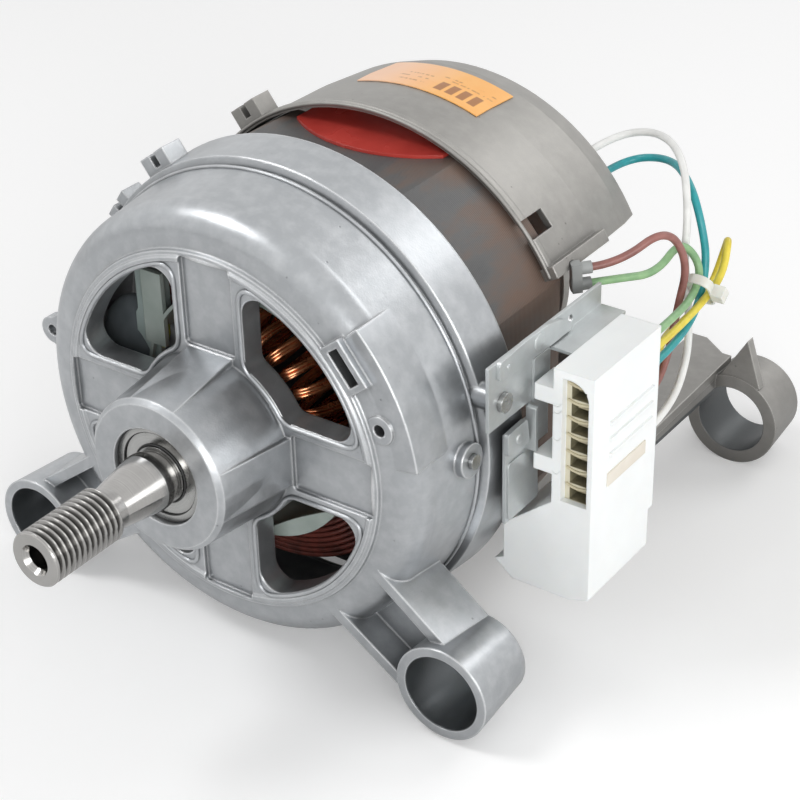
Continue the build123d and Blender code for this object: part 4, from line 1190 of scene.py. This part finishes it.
latch_lines = [
    [(x, latch_y, height + rise) for x, rise in latch_steps] for height in latch_heights]
wound_piece("housing_latches", latch_lines, "white_plastic", latch_radius, closed=False)
rib_lines = [rib_line(index) for index in range(rib_count)]
wound_piece("terminal_ribs", rib_lines, "rib_plastic", rib_radius, closed=False)


# Brush springs
def spring_line(side):
    points = []
    steps = spring_turns * circle_steps
    low, high = spring_foot + spring_wire, spring_top - spring_wire
    for step in range(steps + 1):
        angle = full_turn * step / circle_steps
        x = spring_radius * math.cos(angle)
        y = spring_middle_y + spring_radius * math.sin(angle)
        points.append((x, y, side * (low + (high - low) * step / steps)))
    return points


for label, side in (("upper", 1), ("lower", -1)):
    spring = wound_piece(
        "spring_" + label, [spring_line(side)], "steel", spring_wire, "brush_spring_" + label,
        closed=False)
    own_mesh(spring)


# Beads and rings
def ring_line(radius, y, first_deg=0.0, last_deg=360.0, steps=180):
    span = last_deg - first_deg
    spots = [math.radians(first_deg + span * step / steps) for step in range(steps)]
    return [(radius * math.cos(angle), y, radius * math.sin(angle)) for angle in spots]


def arc_points(radius, first, last):
    spots = [first + (last - first) * step / circle_steps for step in range(circle_steps + 1)]
    return [(radius * math.cos(angle), radius * math.sin(angle)) for angle in spots]


def bend_points(start, corner, end):
    return [bent(start, corner, end, step / bend_steps) for step in range(1, bend_steps)] + [end]


def window_line(turn):
    reach_out = window_outer + bead_radius
    reach_in = window_inner - bead_radius
    half_gap = window_gap - bead_radius
    side_out = math.sqrt(reach_out ** 2 - half_gap ** 2)
    side_in = math.sqrt(reach_in ** 2 - half_gap ** 2)
    lean_out = math.asin(half_gap / reach_out) + window_corner / reach_out
    lean_in = math.asin(half_gap / reach_in) + window_inner_corner / reach_in
    flat = arc_points(reach_out, lean_out, quarter_turn - lean_out)
    flat += bend_points(flat[-1], (half_gap, side_out), (half_gap, side_out - window_corner))
    flat.append((half_gap, side_in + window_inner_corner))
    inner_arc = arc_points(reach_in, quarter_turn - lean_in, lean_in)
    flat += bend_points(flat[-1], (half_gap, side_in), inner_arc[0])[:-1] + inner_arc
    flat += bend_points(flat[-1], (side_in, half_gap), (side_in + window_inner_corner, half_gap))
    flat.append((side_out - window_corner, half_gap))
    flat += bend_points(flat[-1], (side_out, half_gap), flat[0])[:-1]
    spun = Matrix.Rotation(turn, 2)
    turned = [spun @ Vector(point) for point in flat]
    return [(point.x, bead_y, point.y) for point in turned]


window_lines = [window_line(full_turn * index / window_count) for index in range(window_count)]
wound_piece("window_beads", window_lines, "cast_front", bead_radius)
ridge_lines = [ring_line(*ring) for ring in ridge_rings]
wound_piece("ridge_beads", ridge_lines, "cast_front", ridge_bead_radius)
cover_rim = ring_line(cover_rim_radius, cover_rim_y, cover_rim_first_deg, cover_rim_last_deg)
wound_piece("cover_rim_bead", [cover_rim], "cast_rear", cover_bead_radius, closed=False)
seal_lines = [ring_line(*ring) for ring in seal_rings]
wound_piece("front_seal_rings", seal_lines, "black_plastic", seal_ring_radius)

# Sensor winding
sensor_turns = []
for index in range(sensor_layers):
    y = rear_wall_y + sensor_first + index * sensor_pitch
    for radius in (sensor_outer - sensor_inset, sensor_inner + sensor_inset):
        sensor_turns.append(ring_line(radius, y, steps=sensor_steps))
wound_piece("sensor_winding", sensor_turns, "copper", sensor_wire_radius, "sensor_coil")

# Finishes of the CAD nodes
slot_of = {part["node"]: part["material_slot"] for part in frame["record"]["subparts"]}
for name, item in frame["nodes"].items():
    item.data.materials.clear()
    item.data.materials.append(finishes["sleeve_grey" if name == "lead_sleeves" else slot_of[name]])

# Plain view transform for the render
bpy.context.scene.view_settings.view_transform = "Standard"
